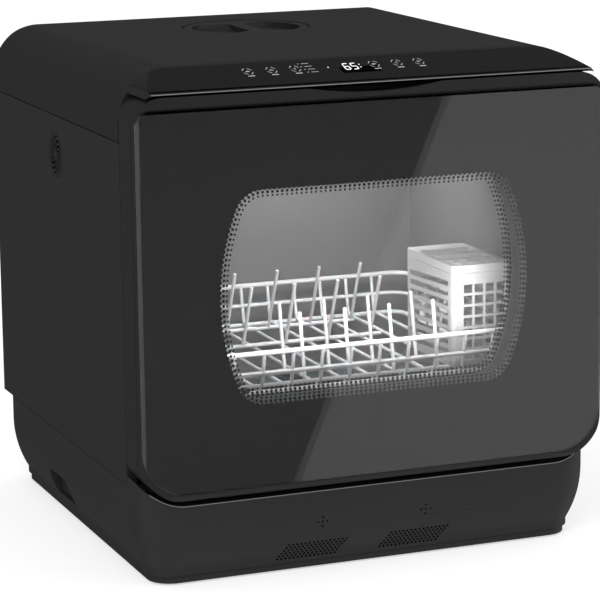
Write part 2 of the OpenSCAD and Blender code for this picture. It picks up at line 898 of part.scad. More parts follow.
module spray_post() {
  color("#55585c")
    translate([0, arm_y, 0]) {
      translate([0, 0, 64 + seat_gap]) cylinder(h = arm_z - 64 - seat_gap - 0.4, r = arm_post_r + 0.6);
      translate([0, 0, arm_z - 1]) cylinder(h = 12, r = arm_post_r);
      translate([0, 0, arm_z + 10.5]) cylinder(h = 3, r = arm_post_r + 4);
    }
}

module arm_plan_2d() {
  half_w = 14;
  tip = 9;
  difference() {
    union() {
      circle(20);
      polygon([[-arm_len + tip, -tip], [0, -half_w], [arm_len - tip, -tip],
               [arm_len - tip, tip], [0, half_w], [-arm_len + tip, tip]]);
      for (side = [-1, 1])
        translate([side * (arm_len - tip), 0]) circle(tip);
    }
    circle(arm_post_r + run_gap);
  }
}

module spray_arm() {
  color("#6d7074")
    translate([0, arm_y, arm_z])
      difference() {
        union() {
          linear_extrude(8) arm_plan_2d();
          difference() {
            cylinder(h = 10, r = 15);
            translate([0, 0, -1]) cylinder(h = 12, r = arm_post_r + run_gap);
          }
        }
        // Jets, staggered along both halves.
        for (side = [-1, 1], i = [0:4])
          translate([side * (34 + 22 * i), (i % 2 == 0 ? 3 : -3), 5])
            cylinder(h = 5, r = 1.3, $fn = 6);
      }
}

module float_cap() {
  z = tub_floor_z + seat_gap;
  color("#dcdedf")
    translate([float_x, float_y, z])
      difference() {
        union() {
          cylinder(h = 10, r = 12);
          translate([0, 0, 10]) cylinder(h = 3, r1 = 12, r2 = 8);
          translate([0, 0, -12]) cylinder(h = 14, r = 3.9);
        }
        translate([0, 0, -0.5])
          difference() {
            cylinder(h = 9, r = 10);
            translate([0, 0, -1]) cylinder(h = 12, r = 3.9);
          }
      }
}

module tub_lamp() {
  color("#f2f4f5")
    translate([0, lamp_y, tub_top_z]) {
      translate([0, 0, -1.6]) cylinder(h = 1.5, r = 13);
      translate([0, 0, -0.5]) cylinder(h = 8, r = 9.6);
    }
}

// ---------------------------------------------------------------- rack and basket

// One closed rim of wire with rounded corners, seen from above.
module rim_loop(half_w, y0, y1, z, wire_r) {
  r = 16;
  for (x = [-half_w, half_w])
    translate([x, y0 + r, z]) rotate([-90, 0, 0]) cylinder(h = y1 - y0 - 2 * r, r = wire_r);
  for (y = [y0, y1])
    translate([r - half_w, y, z]) rotate([0, 90, 0]) cylinder(h = 2 * (half_w - r), r = wire_r);
  for (corner = [[half_w - r, y1 - r, 0], [r - half_w, y1 - r, 90],
                 [r - half_w, y0 + r, 180], [half_w - r, y0 + r, 270]])
    translate([corner[0], corner[1], z])
      rotate([0, 0, corner[2]])
        rotate_extrude(angle = 90) translate([r, 0]) circle(wire_r, $fn = 24);
}

// The rack's floor, with the slide shoes that run in the tub's rails.
module dish_rack() {
  low_half = rack_half_w - floor_inset;
  y0 = rack_front_y + floor_inset;
  y1 = rack_back_y - floor_inset;
  shoe_x = tub_half_w - 8;
  color("#e9eaeb") {
    rim_loop(low_half, y0, y1, rack_z, rim_wire_r);
    for (x = [-5 * rack_wire_step:rack_wire_step:5 * rack_wire_step])
      wire([x, y0 - 1, rack_z + 1], [x, y1 + 1, rack_z + 1], tine_wire_r);
    for (side = [-1, 1], y = [rack_front_y + 40, rack_back_y - 60]) {
      translate([side * shoe_x - 4.6, y, rack_z + 0.6]) cube([9.2, 22, 5.6]);
      wire([side * low_half, y + 11, rack_z + 0.4], [side * shoe_x, y + 11, rack_z + 3.4], 2);
    }
  }
}

// The rack's sloping sides: rim, middle wire and the uprights that stand on the floor's ends.
module rack_rim() {
  foot = 1 + tine_wire_r + seat_gap + 0.4;
  foot_in = floor_inset * (1 - foot / rack_rim_h);
  mid_in = floor_inset * (1 - rack_mid_h / rack_rim_h);
  color("#e9eaeb") {
    rim_loop(rack_half_w, rack_front_y, rack_back_y, rack_rim_z, rim_wire_r);
    rim_loop(rack_half_w - mid_in, rack_front_y + mid_in, rack_back_y - mid_in,
             rack_z + rack_mid_h, tine_wire_r + 0.2);
    for (x = [-5 * rack_wire_step:rack_wire_step:5 * rack_wire_step]) {
      wire([x, rack_front_y + foot_in, rack_z + foot], [x, rack_front_y, rack_rim_z], tine_wire_r);
      wire([x, rack_back_y - foot_in, rack_z + foot], [x, rack_back_y, rack_rim_z], tine_wire_r);
    }
    for (side = [-1, 1], y = [rack_front_y + 38:45:rack_back_y - 50])
      wire([side * (rack_half_w - foot_in), y, rack_z + foot],
           [side * rack_half_w, y, rack_rim_z], tine_wire_r);
  }
}

// Cross wires that lie on the rack's floor and carry the tines.
module rack_tines() {
  cross_r = tine_wire_r + 0.3;
  z = rack_z + 1 + tine_wire_r + seat_gap + cross_r;
  color("#e9eaeb")
    for (row = tine_rows) {
      wire([6 - rack_half_w + floor_inset, row[0], z], [basket_x - 5, row[0], z], cross_r);
      for (i = [0:row[2] - 1])
        wire([row[1] + i * tine_pitch, row[0], z],
             [row[1] + i * tine_pitch, row[0] + row[3], rack_z + tine_len], tine_wire_r);
    }
}

module cutlery_basket() {
  t = 1.8;
  color("#f4f4f3")
    translate([basket_x, basket_y, basket_z])
      difference() {
        linear_extrude(basket_h - grid_t - seat_gap)
          soft_rect(0, basket_w, 0, basket_d, 4, 4);
        translate([t, t, t])
          cube([basket_w - 2 * t, basket_d - 2 * t, basket_h]);
        // Slanting slots along both sides, and the open lattice at both ends.
        for (i = [0:7])
          along_x(-1, basket_w + 1)
            polygon([[9, 9 + 8.8 * i], [basket_d - 7, 5 + 8.8 * i],
                     [basket_d - 7, 10 + 8.8 * i], [9, 14 + 8.8 * i]]);
        for (i = [0:3], j = [0:6])
          translate([11 + 10.6 * i, -1, 5 + 10 * j]) cube([8.6, basket_d + 2, 7.8]);
        for (i = [0:3], j = [0:5])
          translate([7 + 12.2 * i, 8 + 14.5 * j, -1]) cube([8.2, 10, 5]);
      }
}

// The grid that closes the basket's top, with small wells at the front and two long slots.
module basket_grid() {
  margin = 4.5;
  color("#f4f4f3")
    translate([basket_x, basket_y, basket_z + basket_h - grid_t])
      linear_extrude(grid_t)
        difference() {
          soft_rect(0, basket_w, 0, basket_d, 4, 4);
          for (y = [34, 62])
            translate([margin, y]) square([basket_w - 2 * margin, 18]);
          for (i = [0:3], j = [0, 1])
            translate([5.5 + 12.4 * i, 5 + 13 * j]) square([8.8, 9.6]);
        }
}

// ---------------------------------------------------------------- door

// The fixed hinge arm turns through this slot in the door's lower edge, from level to upright.
module hinge_slot(extra) {
  eye_r = hinge_eye_r + extra;
  for (side = [-1, 1])
    translate([side * hinge_x, hinge_y, hinge_z])
      rotate([0, 90, 0])
        translate([0, 0, -hinge_arm_t / 2 - extra])
          linear_extrude(hinge_arm_t + 2 * extra) {
            circle(eye_r);
            translate([-eye_r, 0]) square([eye_r + hinge_z - door_bottom_z + 1, door_t + 5]);
            translate([0, -eye_r]) square([hinge_z - door_bottom_z + 1, eye_r + 1]);
          }
}

module door_block(front, rear) {
  intersection() {
    along_y(front, rear) frame_2d(0);
    door_plan();
    along_x(-far, far) door_side_2d(front_y, rear);
  }
}

module door_frame() {
  front = front_y;
  rear = door_back_y;
  glass_seat = front_y + glass_t + seat_gap / 2;
  color("#333333")
    difference() {
      union() {
        difference() {
          door_block(front, rear);
          along_y(glass_seat + wall, rear - wall)
            frame_2d(-wall - 1);
        }
        for (side = [-1, 1])
          intersection() {
            translate([side * hinge_x - 12, hinge_y - 5, door_bottom_z]) cube([24, 13, 24]);
            door_block(glass_seat, rear);
          }
      }
      along_y(front - 1, glass_seat) glass_2d(seat_gap / 2);
      along_y(front - 1, glass_seat + wall + 1) window_2d(5);
      along_y(rear - 2 * wall, rear + 1) liner_2d(-6);
      along_y(rear - liner_t - seat_gap / 2, rear + 1) liner_2d(seat_gap / 2);
      hinge_slot(0.5);
      translate([-side_x, hinge_y, hinge_z])
        rotate([0, 90, 0])
          both_pins() cylinder(h = pin_len + 0.4, r = hinge_pin_r + run_gap, center = true);
    }
}

module both_pins() {
  for (side = [-1, 1])
    translate([0, 0, side_x + side * hinge_x]) children();
}

// Front view of the outer pane.
module glass_2d(grow) {
  soft_slab(door_half - glass_border + grow, glass_bottom_z - grow,
            glass_top_z - glass_border / 3 + grow, door_low_r - 3 + grow,
            glass_top_r - 1.5 + grow);
}

// Front view of the inner liner.
module liner_2d(grow) {
  soft_slab(side_x - 14 + grow, hinge_z + 8 - grow, glass_top_z - 9 + grow, 14 + grow,
            14 + grow);
}

module door_glass() {
  color("#262728")
    intersection() {
      along_y(front_y, front_y + glass_t) glass_2d(0);
      door_plan();
    }
}

module door_cap() {
  color("#303030")
    difference() {
      intersection() {
        union() {
          along_y(front_y, front_y + swing_d) door_2d(0);
          translate([0, 0, -swing_drop]) along_y(front_y + swing_d - 1, door_back_y) door_2d(0);
        }
        door_plan();
        translate([-far, front_y - 1, glass_top_z - glass_top_r]) cube([2 * far, casing_d, far]);
      }
      along_y(front_y - 1, door_back_y + 1) frame_2d(seat_gap / 2);
      // Lens-shaped scoop at the front, with a pocket behind it for the fingers.
      along_y(front_y - 1, front_y + 12)
        intersection() {
          translate([0, door_top_z - scoop_drop + scoop_r]) circle(scoop_r, $fn = 96);
          translate([-far, door_top_z - 7]) square([2 * far, 20]);
        }
      translate([0, 0, door_top_z - 7])
        linear_extrude(20) soft_slab(scoop_half - 4, front_y + 8, front_y + 24, 7, 7);
    }
}

module door_liner() {
  rear = door_back_y;
  color("#b8bbbe")
    difference() {
      along_y(rear - liner_t, rear) liner_2d(0);
      along_y(rear - liner_t - 1, rear + 1) window_2d(7 + seat_gap);
      translate([cup_x - 1, rear - 20, cup_z - 1]) cube([cup_w + 2, 30, cup_h + 2]);
    }
}

// The sleeve between the two panes, which holds the inner one.
module window_tunnel() {
  rear = door_back_y;
  tunnel_front = front_y + glass_t + wall + 2 * seat_gap;
  color("#b8bbbe")
    difference() {
      along_y(tunnel_front, rear) window_2d(7);
      along_y(tunnel_front - 1, pane_y - 2) window_2d(5);
      along_y(pane_y, rear + 1) window_2d(5);
      along_y(pane_y - 3, pane_y + 1) window_2d(0);
    }
}

module inner_glass() {
  color("#9aa4a8")
    along_y(pane_y + seat_gap / 2, pane_y + 3) window_2d(5 - seat_gap);
}

module hinge_pins() {
  color("#8d8f92")
    translate([-side_x, hinge_y, hinge_z])
      rotate([0, 90, 0])
        both_pins() cylinder(h = pin_len, r = hinge_pin_r, center = true);
}

module hinge_brackets() {
  root_y = door_back_y + 2 * wall + seat_gap;
  color("#7e8184")
    for (side = [-1, 1])
      difference() {
        union() {
          translate([side * hinge_x - hinge_arm_t / 2, 0, 0])
            along_x(0, hinge_arm_t) {
              translate([hinge_y, hinge_z]) circle(hinge_eye_r);
              translate([hinge_y, hinge_z - hinge_eye_r])
                square([root_y + 10 - hinge_y, 2 * hinge_eye_r]);
            }
          translate([side * hinge_x - 10, root_y, base_seam_z - 14])
            cube([20, 10, hinge_z + hinge_eye_r - base_seam_z + 14]);
        }
        translate([side * hinge_x - 20, hinge_y, hinge_z])
          rotate([0, 90, 0]) cylinder(h = 40, r = hinge_pin_r + run_gap);
      }
}

module latch_hook() {
  color("#77797c")
    difference() {
      union() {
        translate([-latch_w / 2, door_back_y + 0.05, latch_z - 2]) cube([latch_w, 2, 8]);
        translate([-latch_w / 2 + 3, door_back_y + 1, latch_z]) cube([latch_w - 6, 13, 3]);
        translate([-latch_w / 2 + 3, door_back_y + 11, latch_z - 2]) cube([latch_w - 6, 3, 4]);
      }
      translate([-4, door_back_y + 4, latch_z - 5]) cube([8, 6, 12]);
    }
}

module latch_lock() {
  y0 = door_back_y + 2 * wall + seat_gap;
  color("#3a3c3f")
    difference() {
      translate([-25, y0, latch_z - 12]) cube([50, 26, 28]);
      translate([-latch_w / 2 - 1, y0 - 1, latch_z - 5]) cube([latch_w + 2, 16, 14]);
    }
}

module detergent_cup() {
  rear = door_back_y;
  color("#5c6064")
    difference() {
      union() {
        translate([cup_x, rear - 16, cup_z]) cube([cup_w, 16 + 0.2, cup_h]);
        translate([cup_x - 3, rear + 0.2, cup_z - 3]) cube([cup_w + 6, 1.2, cup_h + 6]);
      }
      translate([cup_x + 3, rear - 14, cup_z + 3]) cube([lid_w - 6, 20, cup_h - 6]);
      translate([cup_x + lid_w + 1, rear - 6, cup_z + 3]) cube([cup_w - lid_w - 4, 20, cup_h - 6]);
    }
}

module detergent_lid() {
  y0 = door_back_y + 1.4 + seat_gap;
  color("#44474a")
    difference() {
      translate([cup_x, y0, cup_z]) cube([lid_w, 1.6, cup_h]);
      for (x = [6:5:21])
        translate([cup_x + x, y0 + 0.9, cup_z + 6]) cube([2, 5, cup_h - 12]);
    }
}

// ---------------------------------------------------------------- side vent and fan

module vent_grille() {
  slots = 12;
  color("#2a2a2a")
    translate([-side_x, vent_y, vent_z])
      rotate([0, 90, 0])
        difference() {
          cylinder(h = 3, r = vent_r);
          translate([0, 0, 1.4]) cylinder(h = 5, r = vent_r - 1.6);
          // Curved slots that sweep from the hub to the rim.
          for (i = [0:slots - 1])
            rotate([0, 0, i * 360 / slots])
              translate([0, 0, -1])
                linear_extrude(4)
                  intersection() {
                    difference() {
                      translate([9, 0]) circle(9.5, $fn = 32);
                      translate([9.4, 2.2]) circle(9.4, $fn = 32);
                    }
                    difference() {
                      circle(vent_r - 2.4);
                      circle(5);
                    }
                    translate([0, -12]) square([30, 12]);
                  }
        }
}

module fan_housing() {
  color("#1c1c1c")
    translate([fan_front, vent_y, vent_z])
      rotate([0, 90, 0])
        difference() {
          union() {
            difference() {
              translate([-23, -23, 0]) cube([46, 46, fan_depth]);
              translate([0, 0, -1]) cylinder(h = fan_depth + 2, r = vent_r - 0.6);
            }
            // Three spokes carry the boss that the rotor's shaft turns in.
            translate([0, 0, fan_depth - 3.5]) {
              cylinder(h = 3, r = 7);
              for (a = [90, 210, 330])
                rotate([0, 0, a]) translate([5, -1.5, 0]) cube([vent_r - 4, 3, 3]);
            }
          }
          translate([0, 0, fan_depth - 4]) cylinder(h = 6, r = 1.5 + run_gap);
        }
}

module fan_rotor() {
  color("#262626")
    translate([fan_front + 3, vent_y, vent_z])
      rotate([0, 90, 0])
        difference() {
          union() {
            cylinder(h = 12, r = 7);
            cylinder(h = fan_depth - 4, r = 1.5);
            for (i = [0:blade_count - 1])
              rotate([0, 0, i * 360 / blade_count])
                translate([5.5, 0, 6])
                  rotate([38, 0, 0]) translate([0, -0.6, -6]) cube([12, 1.2, 12]);
          }
          translate([0, 0, -1]) cylinder(h = 2, r = 4);
        }
}

// ---------------------------------------------------------------- pumps and pipes

module wash_pump() {
  color("#5f6367")
    translate([pump_x, arm_y, pump_z]) {
      rotate([0, 90, 0]) cylinder(h = 16, r = pump_r);
      translate([15, 0, 0])
        rotate([0, 90, 0]) cylinder(h = side_x - 38 - pump_x, r = pump_r - 6);
      translate([-11, 0, 0]) rotate([0, 90, 0]) cylinder(h = 12, r = stub_r);
      translate([20, -20, plate_top_z - pump_z]) cube([32, 40, 24]);
    }
}

// A bent rubber hose: level, down through two quarter bends, and level again.
module pump_hose_solid(r) {
  translate([sump_r + 4, arm_y, stub_z])
    rotate([0, 90, 0]) cylinder(h = bend_x - sump_r - 4, r = r);
  translate([bend_x, arm_y, stub_z - bend_r])
    rotate([90, 0, 0])
      rotate_extrude(angle = 90) translate([bend_r, 0]) circle(r);
  translate([bend_x + 2 * bend_r, arm_y, stub_z - bend_r])
    rotate([90, 180, 0])
      rotate_extrude(angle = 90) translate([bend_r, 0]) circle(r);
  translate([bend_x + 2 * bend_r, arm_y, pump_z])
    rotate([0, 90, 0]) cylinder(h = 10, r = r);
}

module pump_hose() {
  color("#242424")
    difference() {
      pump_hose_solid(hose_r);
      translate([sump_r + 3, arm_y, stub_z])
        rotate([0, 90, 0]) cylinder(h = 16, r = stub_r + 0.1);
      translate([bend_x + 2 * bend_r - 1, arm_y, pump_z])
        rotate([0, 90, 0]) cylinder(h = 12, r = stub_r + 0.1);
    }
}

module drain_pump() {
  color("#4f7d8c")
    translate([drain_x, drain_pump_y, service_z]) {
      rotate([-90, 0, 0]) cylinder(h = 40, r = 20);
      translate([0, 39, 0]) rotate([-90, 0, 0]) cylinder(h = 11, r = drain_r);
      translate([0, -11, stub_z - service_z]) rotate([-90, 0, 0]) cylinder(h = 12, r = stub_r);
      translate([-16, 5, plate_top_z - service_z]) cube([32, 28, 44]);
    }
}

module drain_hose() {
  y0 = arm_y + sump_r + 4;
  y1 = drain_pump_y - 0.3;
  color("#262626")
    translate([drain_x, y0, stub_z])
      rotate([-90, 0, 0])
        difference() {
          cylinder(h = y1 - y0, r = hose_r);
          translate([0, 0, -1]) cylinder(h = y1 - y0 + 2, r = stub_r + 0.1);
        }
}

// The inlet's thread is left as a plain cylinder of its outer radius.
module water_inlet() {
  color("#c9cbcd")
    translate([inlet_x, bay_y - wall - seat_gap - 3, service_z])
      rotate([-90, 0, 0])
        difference() {
          union() {
            cylinder(h = 24, r = inlet_r);
            cylinder(h = 3, r = inlet_r + 4);
          }
          translate([0, 0, -1]) cylinder(h = 30, r = inlet_r - 3.2);
        }
}

module drain_spigot() {
  y0 = drain_pump_y + 50.2;
  color("#3a3a3a")
    translate([drain_x, y0, service_z])
      rotate([-90, 0, 0])
        difference() {
          union() {
            cylinder(h = back_y - 1 - y0, r = drain_r);
            translate([0, 0, bay_y - wall - seat_gap - 3 - y0]) cylinder(h = 3, r = drain_r + 4);
          }
          translate([0, 0, -1]) cylinder(h = 60, r = drain_r - 2.2);
        }
}

module cord_gland() {
  color("#1b1b1b")
    translate([cord_x, bay_y - wall - seat_gap - 3, service_z])
      rotate([-90, 0, 0])
        difference() {
          union() {
            cylinder(h = 3 + 2 * seat_gap + wall + 3, r = gland_r);
            cylinder(h = 3, r = gland_r + 3);
            translate([0, 0, 3 + 2 * seat_gap + wall]) cylinder(h = 3, r = gland_r + 3);
          }
          translate([0, 0, -1]) cylinder(h = 20, r = cord_hole_r);
        }
}

base_housing();
base_plate();
rubber_feet();
side_panel_left();
side_panel_right();
back_panel();
top_cover();
control_panel();
display_window();
control_board();
fill_port();
fill_duct();
fill_cap();
fill_gasket();
water_tank();
tub();
tub_frame();
tub_seal();
rack_rails();
filter_plate();
filter_cup();
sump();
heater();
spray_arm();
spray_post();
float_cap();
tub_lamp();
dish_rack();
rack_rim();
rack_tines();
cutlery_basket();
basket_grid();
door_frame();
door_glass();
door_cap();
door_liner();
window_tunnel();
inner_glass();
hinge_pins();
hinge_brackets();
latch_hook();
latch_lock();
detergent_cup();
detergent_lid();
vent_grille();
fan_housing();
fan_rotor();
wash_pump();
drain_pump();
pump_hose();
drain_hose();
water_inlet();
drain_spigot();
cord_gland();
panel_screws();
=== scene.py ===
"""Looks of a countertop dishwasher with a glass drop-down door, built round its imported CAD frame.

Sizes in the classes are millimetres in the CAD frame: +Z up, the door faces -Y, and the origin
is on the floor under the middle. Meshes are in metres, as Blender and the frame need them.
"""

import json
import logging
import math
from collections.abc import Iterable, Sequence
from dataclasses import dataclass, field
from enum import Enum

import bmesh
import bpy
from bpy.types import Material, Node, NodeSocket, Object
from mathutils import Matrix, Vector


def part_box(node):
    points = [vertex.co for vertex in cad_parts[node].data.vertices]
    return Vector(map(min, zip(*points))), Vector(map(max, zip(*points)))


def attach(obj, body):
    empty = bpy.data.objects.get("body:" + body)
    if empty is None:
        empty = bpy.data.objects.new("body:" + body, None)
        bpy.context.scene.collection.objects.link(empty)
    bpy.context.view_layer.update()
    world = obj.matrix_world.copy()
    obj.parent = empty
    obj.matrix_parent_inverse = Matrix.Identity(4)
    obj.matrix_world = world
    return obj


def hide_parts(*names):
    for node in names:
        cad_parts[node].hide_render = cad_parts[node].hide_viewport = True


log = logging.getLogger("dishwasher")

MM = 0.001
# How finely a wire's section is rounded, and the steps along each of its bends.
ROUND_STEPS = 3
BEND_STEPS = 6
Point = tuple[float, float, float]
Pair = tuple[float, float]
EdgePoint = tuple[float, float, float, float]

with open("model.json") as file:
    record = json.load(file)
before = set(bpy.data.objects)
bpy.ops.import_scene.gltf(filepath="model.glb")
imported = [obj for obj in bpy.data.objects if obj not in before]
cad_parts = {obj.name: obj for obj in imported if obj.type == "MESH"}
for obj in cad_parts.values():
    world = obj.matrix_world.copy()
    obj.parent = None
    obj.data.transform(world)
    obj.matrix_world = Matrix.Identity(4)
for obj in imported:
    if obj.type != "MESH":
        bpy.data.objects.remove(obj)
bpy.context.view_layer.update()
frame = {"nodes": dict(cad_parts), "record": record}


# ---------------------------------------------------------------- modelling helpers


def vec(point: Sequence[float]) -> Vector:
    """Turns a point in millimetres into a vector in metres."""
    return Vector(point) * MM


def take(piece: Object) -> Object:
    """Makes a piece the only selected and the active object."""
    if bpy.context.mode != "OBJECT":
        bpy.ops.object.mode_set(mode="OBJECT")
    bpy.ops.object.select_all(action="DESELECT")
    piece.select_set(True)
    bpy.context.view_layer.objects.active = piece
    return piece


def finished(piece: Object, name: str) -> Object:
    """Names a piece and moves its place into its mesh, so that its object sits at the origin.

    Args:
        piece: The mesh object.
        name: The name that the piece gets.

    Returns:
        The same object.
    """
    take(piece)
    bpy.ops.object.transform_apply(location=True, rotation=True, scale=True)
    piece.name = name
    piece.data.name = name
    return piece


def apply_modifier(piece: Object, kind: str, **settings: object) -> None:
    """Adds a modifier to a piece and applies it.

    Args:
        piece: The mesh object.
        kind: Blender's name of the modifier.
        settings: The modifier's own settings.
    """
    take(piece)
    modifier = piece.modifiers.new(kind.lower(), kind)
    for key, value in settings.items():
        setattr(modifier, key, value)
    bpy.ops.object.modifier_apply(modifier=modifier.name)


def smooth(piece: Object, degrees: float = 32.0) -> Object:
    """Shades a piece smooth where its faces meet at less than an angle, wide faces staying flat."""
    take(piece)
    bpy.ops.object.shade_smooth_by_angle(angle=math.radians(degrees))
    apply_modifier(piece, "WEIGHTED_NORMAL", mode="FACE_AREA", weight=80, keep_sharp=True)
    return piece


def soften(piece: Object, width: float, segments: int = 2) -> Object:
    """Rounds the sharp edges of a piece as a mould or a press does.

    Args:
        piece: The mesh object.
        width: Width of the rounding in millimetres.
        segments: Faces across the rounding.

    Returns:
        The same object, shaded smooth.
    """
    apply_modifier(
        piece,
        "BEVEL",
        width=width * MM,
        segments=segments,
        limit_method="ANGLE",
        angle_limit=math.radians(38),
        use_clamp_overlap=False,
        miter_outer="MITER_ARC",
    )
    return smooth(piece)


def merged_copy(node: str, name: str, flatten: bool = True) -> Object:
    """Copies a CAD node's mesh into a new piece with its loose triangles joined.

    Args:
        node: Name of the CAD node.
        name: Name of the new piece.
        flatten: Whether flat faces are joined too, which a pierced wall doesn't stand.

    Returns:
        The new object.
    """
    mesh = frame["nodes"][node].data.copy()
    mesh.materials.clear()
    piece = bpy.data.objects.new(name, mesh)
    bpy.context.scene.collection.objects.link(piece)
    take(piece)
    bpy.ops.mesh.customdata_custom_splitnormals_clear()
    bpy.ops.object.mode_set(mode="EDIT")
    bpy.ops.mesh.select_all(action="SELECT")
    bpy.ops.mesh.remove_doubles(threshold=0.002 * MM)
    if flatten:
        bpy.ops.mesh.dissolve_limited(angle_limit=math.radians(0.4))
    bpy.ops.object.mode_set(mode="OBJECT")
    return piece


def duplicate(piece: Object, place: Matrix) -> Object:
    """Copies a piece with its own mesh, moved by a matrix in metres."""
    copy = piece.copy()
    copy.data = piece.data.copy()
    copy.data.transform(place)
    bpy.context.scene.collection.objects.link(copy)
    return copy


def moved(piece: Object, place: Matrix) -> Object:
    """Moves a piece's mesh by a matrix in metres and gives the piece back."""
    piece.data.transform(place)
    return piece


def repeated(piece: Object, places: Iterable[Sequence[float]]) -> list[Object]:
    """Copies a piece to each place, a move in millimetres, and removes the original."""
    copies = [duplicate(piece, shift(place)) for place in places]
    bpy.data.objects.remove(piece)
    return copies


def front_discs(radius: float, places: Iterable[Point]) -> list[Object]:
    """Makes flat eight-sided discs that face the front, one at each place.

    Args:
        radius: Their radius in millimetres.
        places: Their middles in millimetres.

    Returns:
        The discs.
    """
    bpy.ops.object.select_all(action="DESELECT")
    bpy.ops.mesh.primitive_circle_add(vertices=8, radius=radius * MM, fill_type="NGON",
                                      rotation=(math.radians(90), 0, 0))
    return repeated(finished(bpy.context.active_object, "disc"), places)


def join(parts: Sequence[Object], name: str) -> Object:
    """Joins mesh objects into one piece with a name."""
    take(parts[0])
    for part in parts:
        part.select_set(True)
    bpy.ops.object.join()
    return finished(bpy.context.view_layer.objects.active, name)


def shift(point: Sequence[float]) -> Matrix:
    """A move by a point in millimetres, as a matrix in metres."""
    return Matrix.Translation(vec(point))


def bent_wire(points: Sequence[Point], radius: float, bend: float = 0.0,
              closed: bool = False) -> Object:
    """Bends one wire through points: edges are extruded, their corners rounded, and a skin added.

    Args:
        points: Corners of the wire in millimetres.
        radius: Radius of the wire in millimetres.
        bend: Inner rounding of the corners in millimetres.
        closed: Whether the wire runs back to its first point.

    Returns:
        The wire as a mesh object.
    """
    bpy.ops.object.select_all(action="DESELECT")
    bpy.ops.mesh.primitive_plane_add(size=MM, location=(0, 0, 0))
    wire = bpy.context.active_object
    bpy.ops.object.mode_set(mode="EDIT")
    bpy.ops.mesh.select_all(action="SELECT")
    bpy.ops.mesh.merge(type="CENTER")
    mesh = bmesh.from_edit_mesh(wire.data)
    mesh.verts.ensure_lookup_table()
    mesh.verts[0].co = vec(points[0])
    mesh.verts[0].select = True
    bmesh.update_edit_mesh(wire.data)
    for before, after in zip(points, points[1:]):
        bpy.ops.mesh.extrude_region_move(
            TRANSFORM_OT_translate={"value": vec(after) - vec(before)})
    if closed:
        mesh = bmesh.from_edit_mesh(wire.data)
        mesh.verts.ensure_lookup_table()
        for vert in mesh.verts:
            vert.select = len(vert.link_edges) < 2
        bmesh.update_edit_mesh(wire.data)
        bpy.ops.mesh.edge_face_add()
    if bend:
        mesh = bmesh.from_edit_mesh(wire.data)
        for vert in mesh.verts:
            vert.select = len(vert.link_edges) == 2
        mesh.select_flush(False)
        bmesh.update_edit_mesh(wire.data)
        bpy.ops.mesh.bevel(affect="VERTICES", offset=bend * MM, segments=BEND_STEPS)
    bpy.ops.object.mode_set(mode="OBJECT")
    take(wire)
    bpy.ops.object.convert(target="CURVE")
    curve = bpy.context.active_object
    curve.data.bevel_depth = radius * MM
    curve.data.bevel_resolution = ROUND_STEPS
    curve.data.use_fill_caps = not closed
    bpy.ops.object.convert(target="MESH")
    wire = bpy.context.active_object
    bpy.ops.object.shade_smooth_by_angle(angle=math.radians(60))
    return wire


def flat_outline(corners: Sequence[Pair], name: str) -> Object:
    """Lays a flat many-sided face in the XY plane from its outline.

    Args:
        corners: Points of the outline in millimetres.
        name: Name of the piece.

    Returns:
        A mesh object with one face.
    """
    bpy.ops.object.select_all(action="DESELECT")
    bpy.ops.mesh.primitive_circle_add(vertices=len(corners), radius=MM, fill_type="NGON")
    face = bpy.context.active_object
    for vert, corner in zip(face.data.vertices, corners):
        vert.co = (corner[0] * MM, corner[1] * MM, 0)
    face.name = name
    return face


# ---------------------------------------------------------------- finishes


def linear(code: str) -> tuple[float, float, float, float]:
    """Turns an sRGB hex colour into the linear colour that a shader wants."""
    parts = [int(code[i:i + 2], 16) / 255 for i in (1, 3, 5)]
    red, green, blue = (
        c / 12.92 if c <= 0.04045 else ((c + 0.055) / 1.055) ** 2.4 for c in parts)
    return red, green, blue, 1.0


def add_node(material: Material, kind: str, settings: dict | None = None,
             links: dict | None = None) -> Node:
    """Adds one shader node with its settings and its links.

    Args:
        material: Material, or world, whose tree gets the node.
        kind: Blender's name of the node's class.
        settings: Values by socket name, or by property name where no socket has it.
        links: Output sockets by the name of the input that they go into.

    Returns:
        The node.
    """
    tree = material.node_tree
    node = tree.nodes.new(kind)
    for key, value in (settings or {}).items():
        if isinstance(key, str) and hasattr(node, key):
            setattr(node, key, value)
        else:
            node.inputs[key].default_value = value
    for key, source in (links or {}).items():
        tree.links.new(source, node.inputs[key])
    return node


def new_material(name: str) -> Material:
    """Makes an empty node material."""
    material = bpy.data.materials.new(name)
    material.use_nodes = True
    material.node_tree.nodes.clear()
    return material


def per_metre(millimetres: float) -> float:
    """Noise scale whose features are this many millimetres across."""
    return 1.0 / (millimetres * MM)


@dataclass(frozen=True)
class Finish:
    """A surface of the object: the name of its material, its colour and its shader."""

    name: str
    colour: str

    def tone(self, m: Material, pattern: Node, low: float, high: float) -> NodeSocket:
        """The colour as a pattern varies it.

        Args:
            m: The material.
            pattern: The node whose Fac output varies it.
            low: Factor on the colour where the pattern is 0.
            high: Factor on the colour where the pattern is 1.

        Returns:
            The colour's socket.
        """
        base = linear(self.colour)[:3]
        dark, light = (tuple(c * factor for c in base) + (1.0,) for factor in (low, high))
        return add_node(m, "ShaderNodeMix", {"data_type": "RGBA", 6: dark, 7: light},
                        {0: pattern.outputs["Fac"]}).outputs[2]

    def shader(self, m: Material, place: NodeSocket) -> Node:
        """Adds the finish's own nodes.

        Args:
            m: The material.
            place: Object coordinates, which the patterns follow.

        Returns:
            The shader node.
        """
        raise NotImplementedError

    def make(self) -> Material:
        """Builds the material."""
        m = new_material(self.name)
        place = add_node(m, "ShaderNodeTexCoord").outputs["Object"]
        surface = self.shader(m, place).outputs[0]
        add_node(m, "ShaderNodeOutputMaterial", None, {"Surface": surface})
        return m


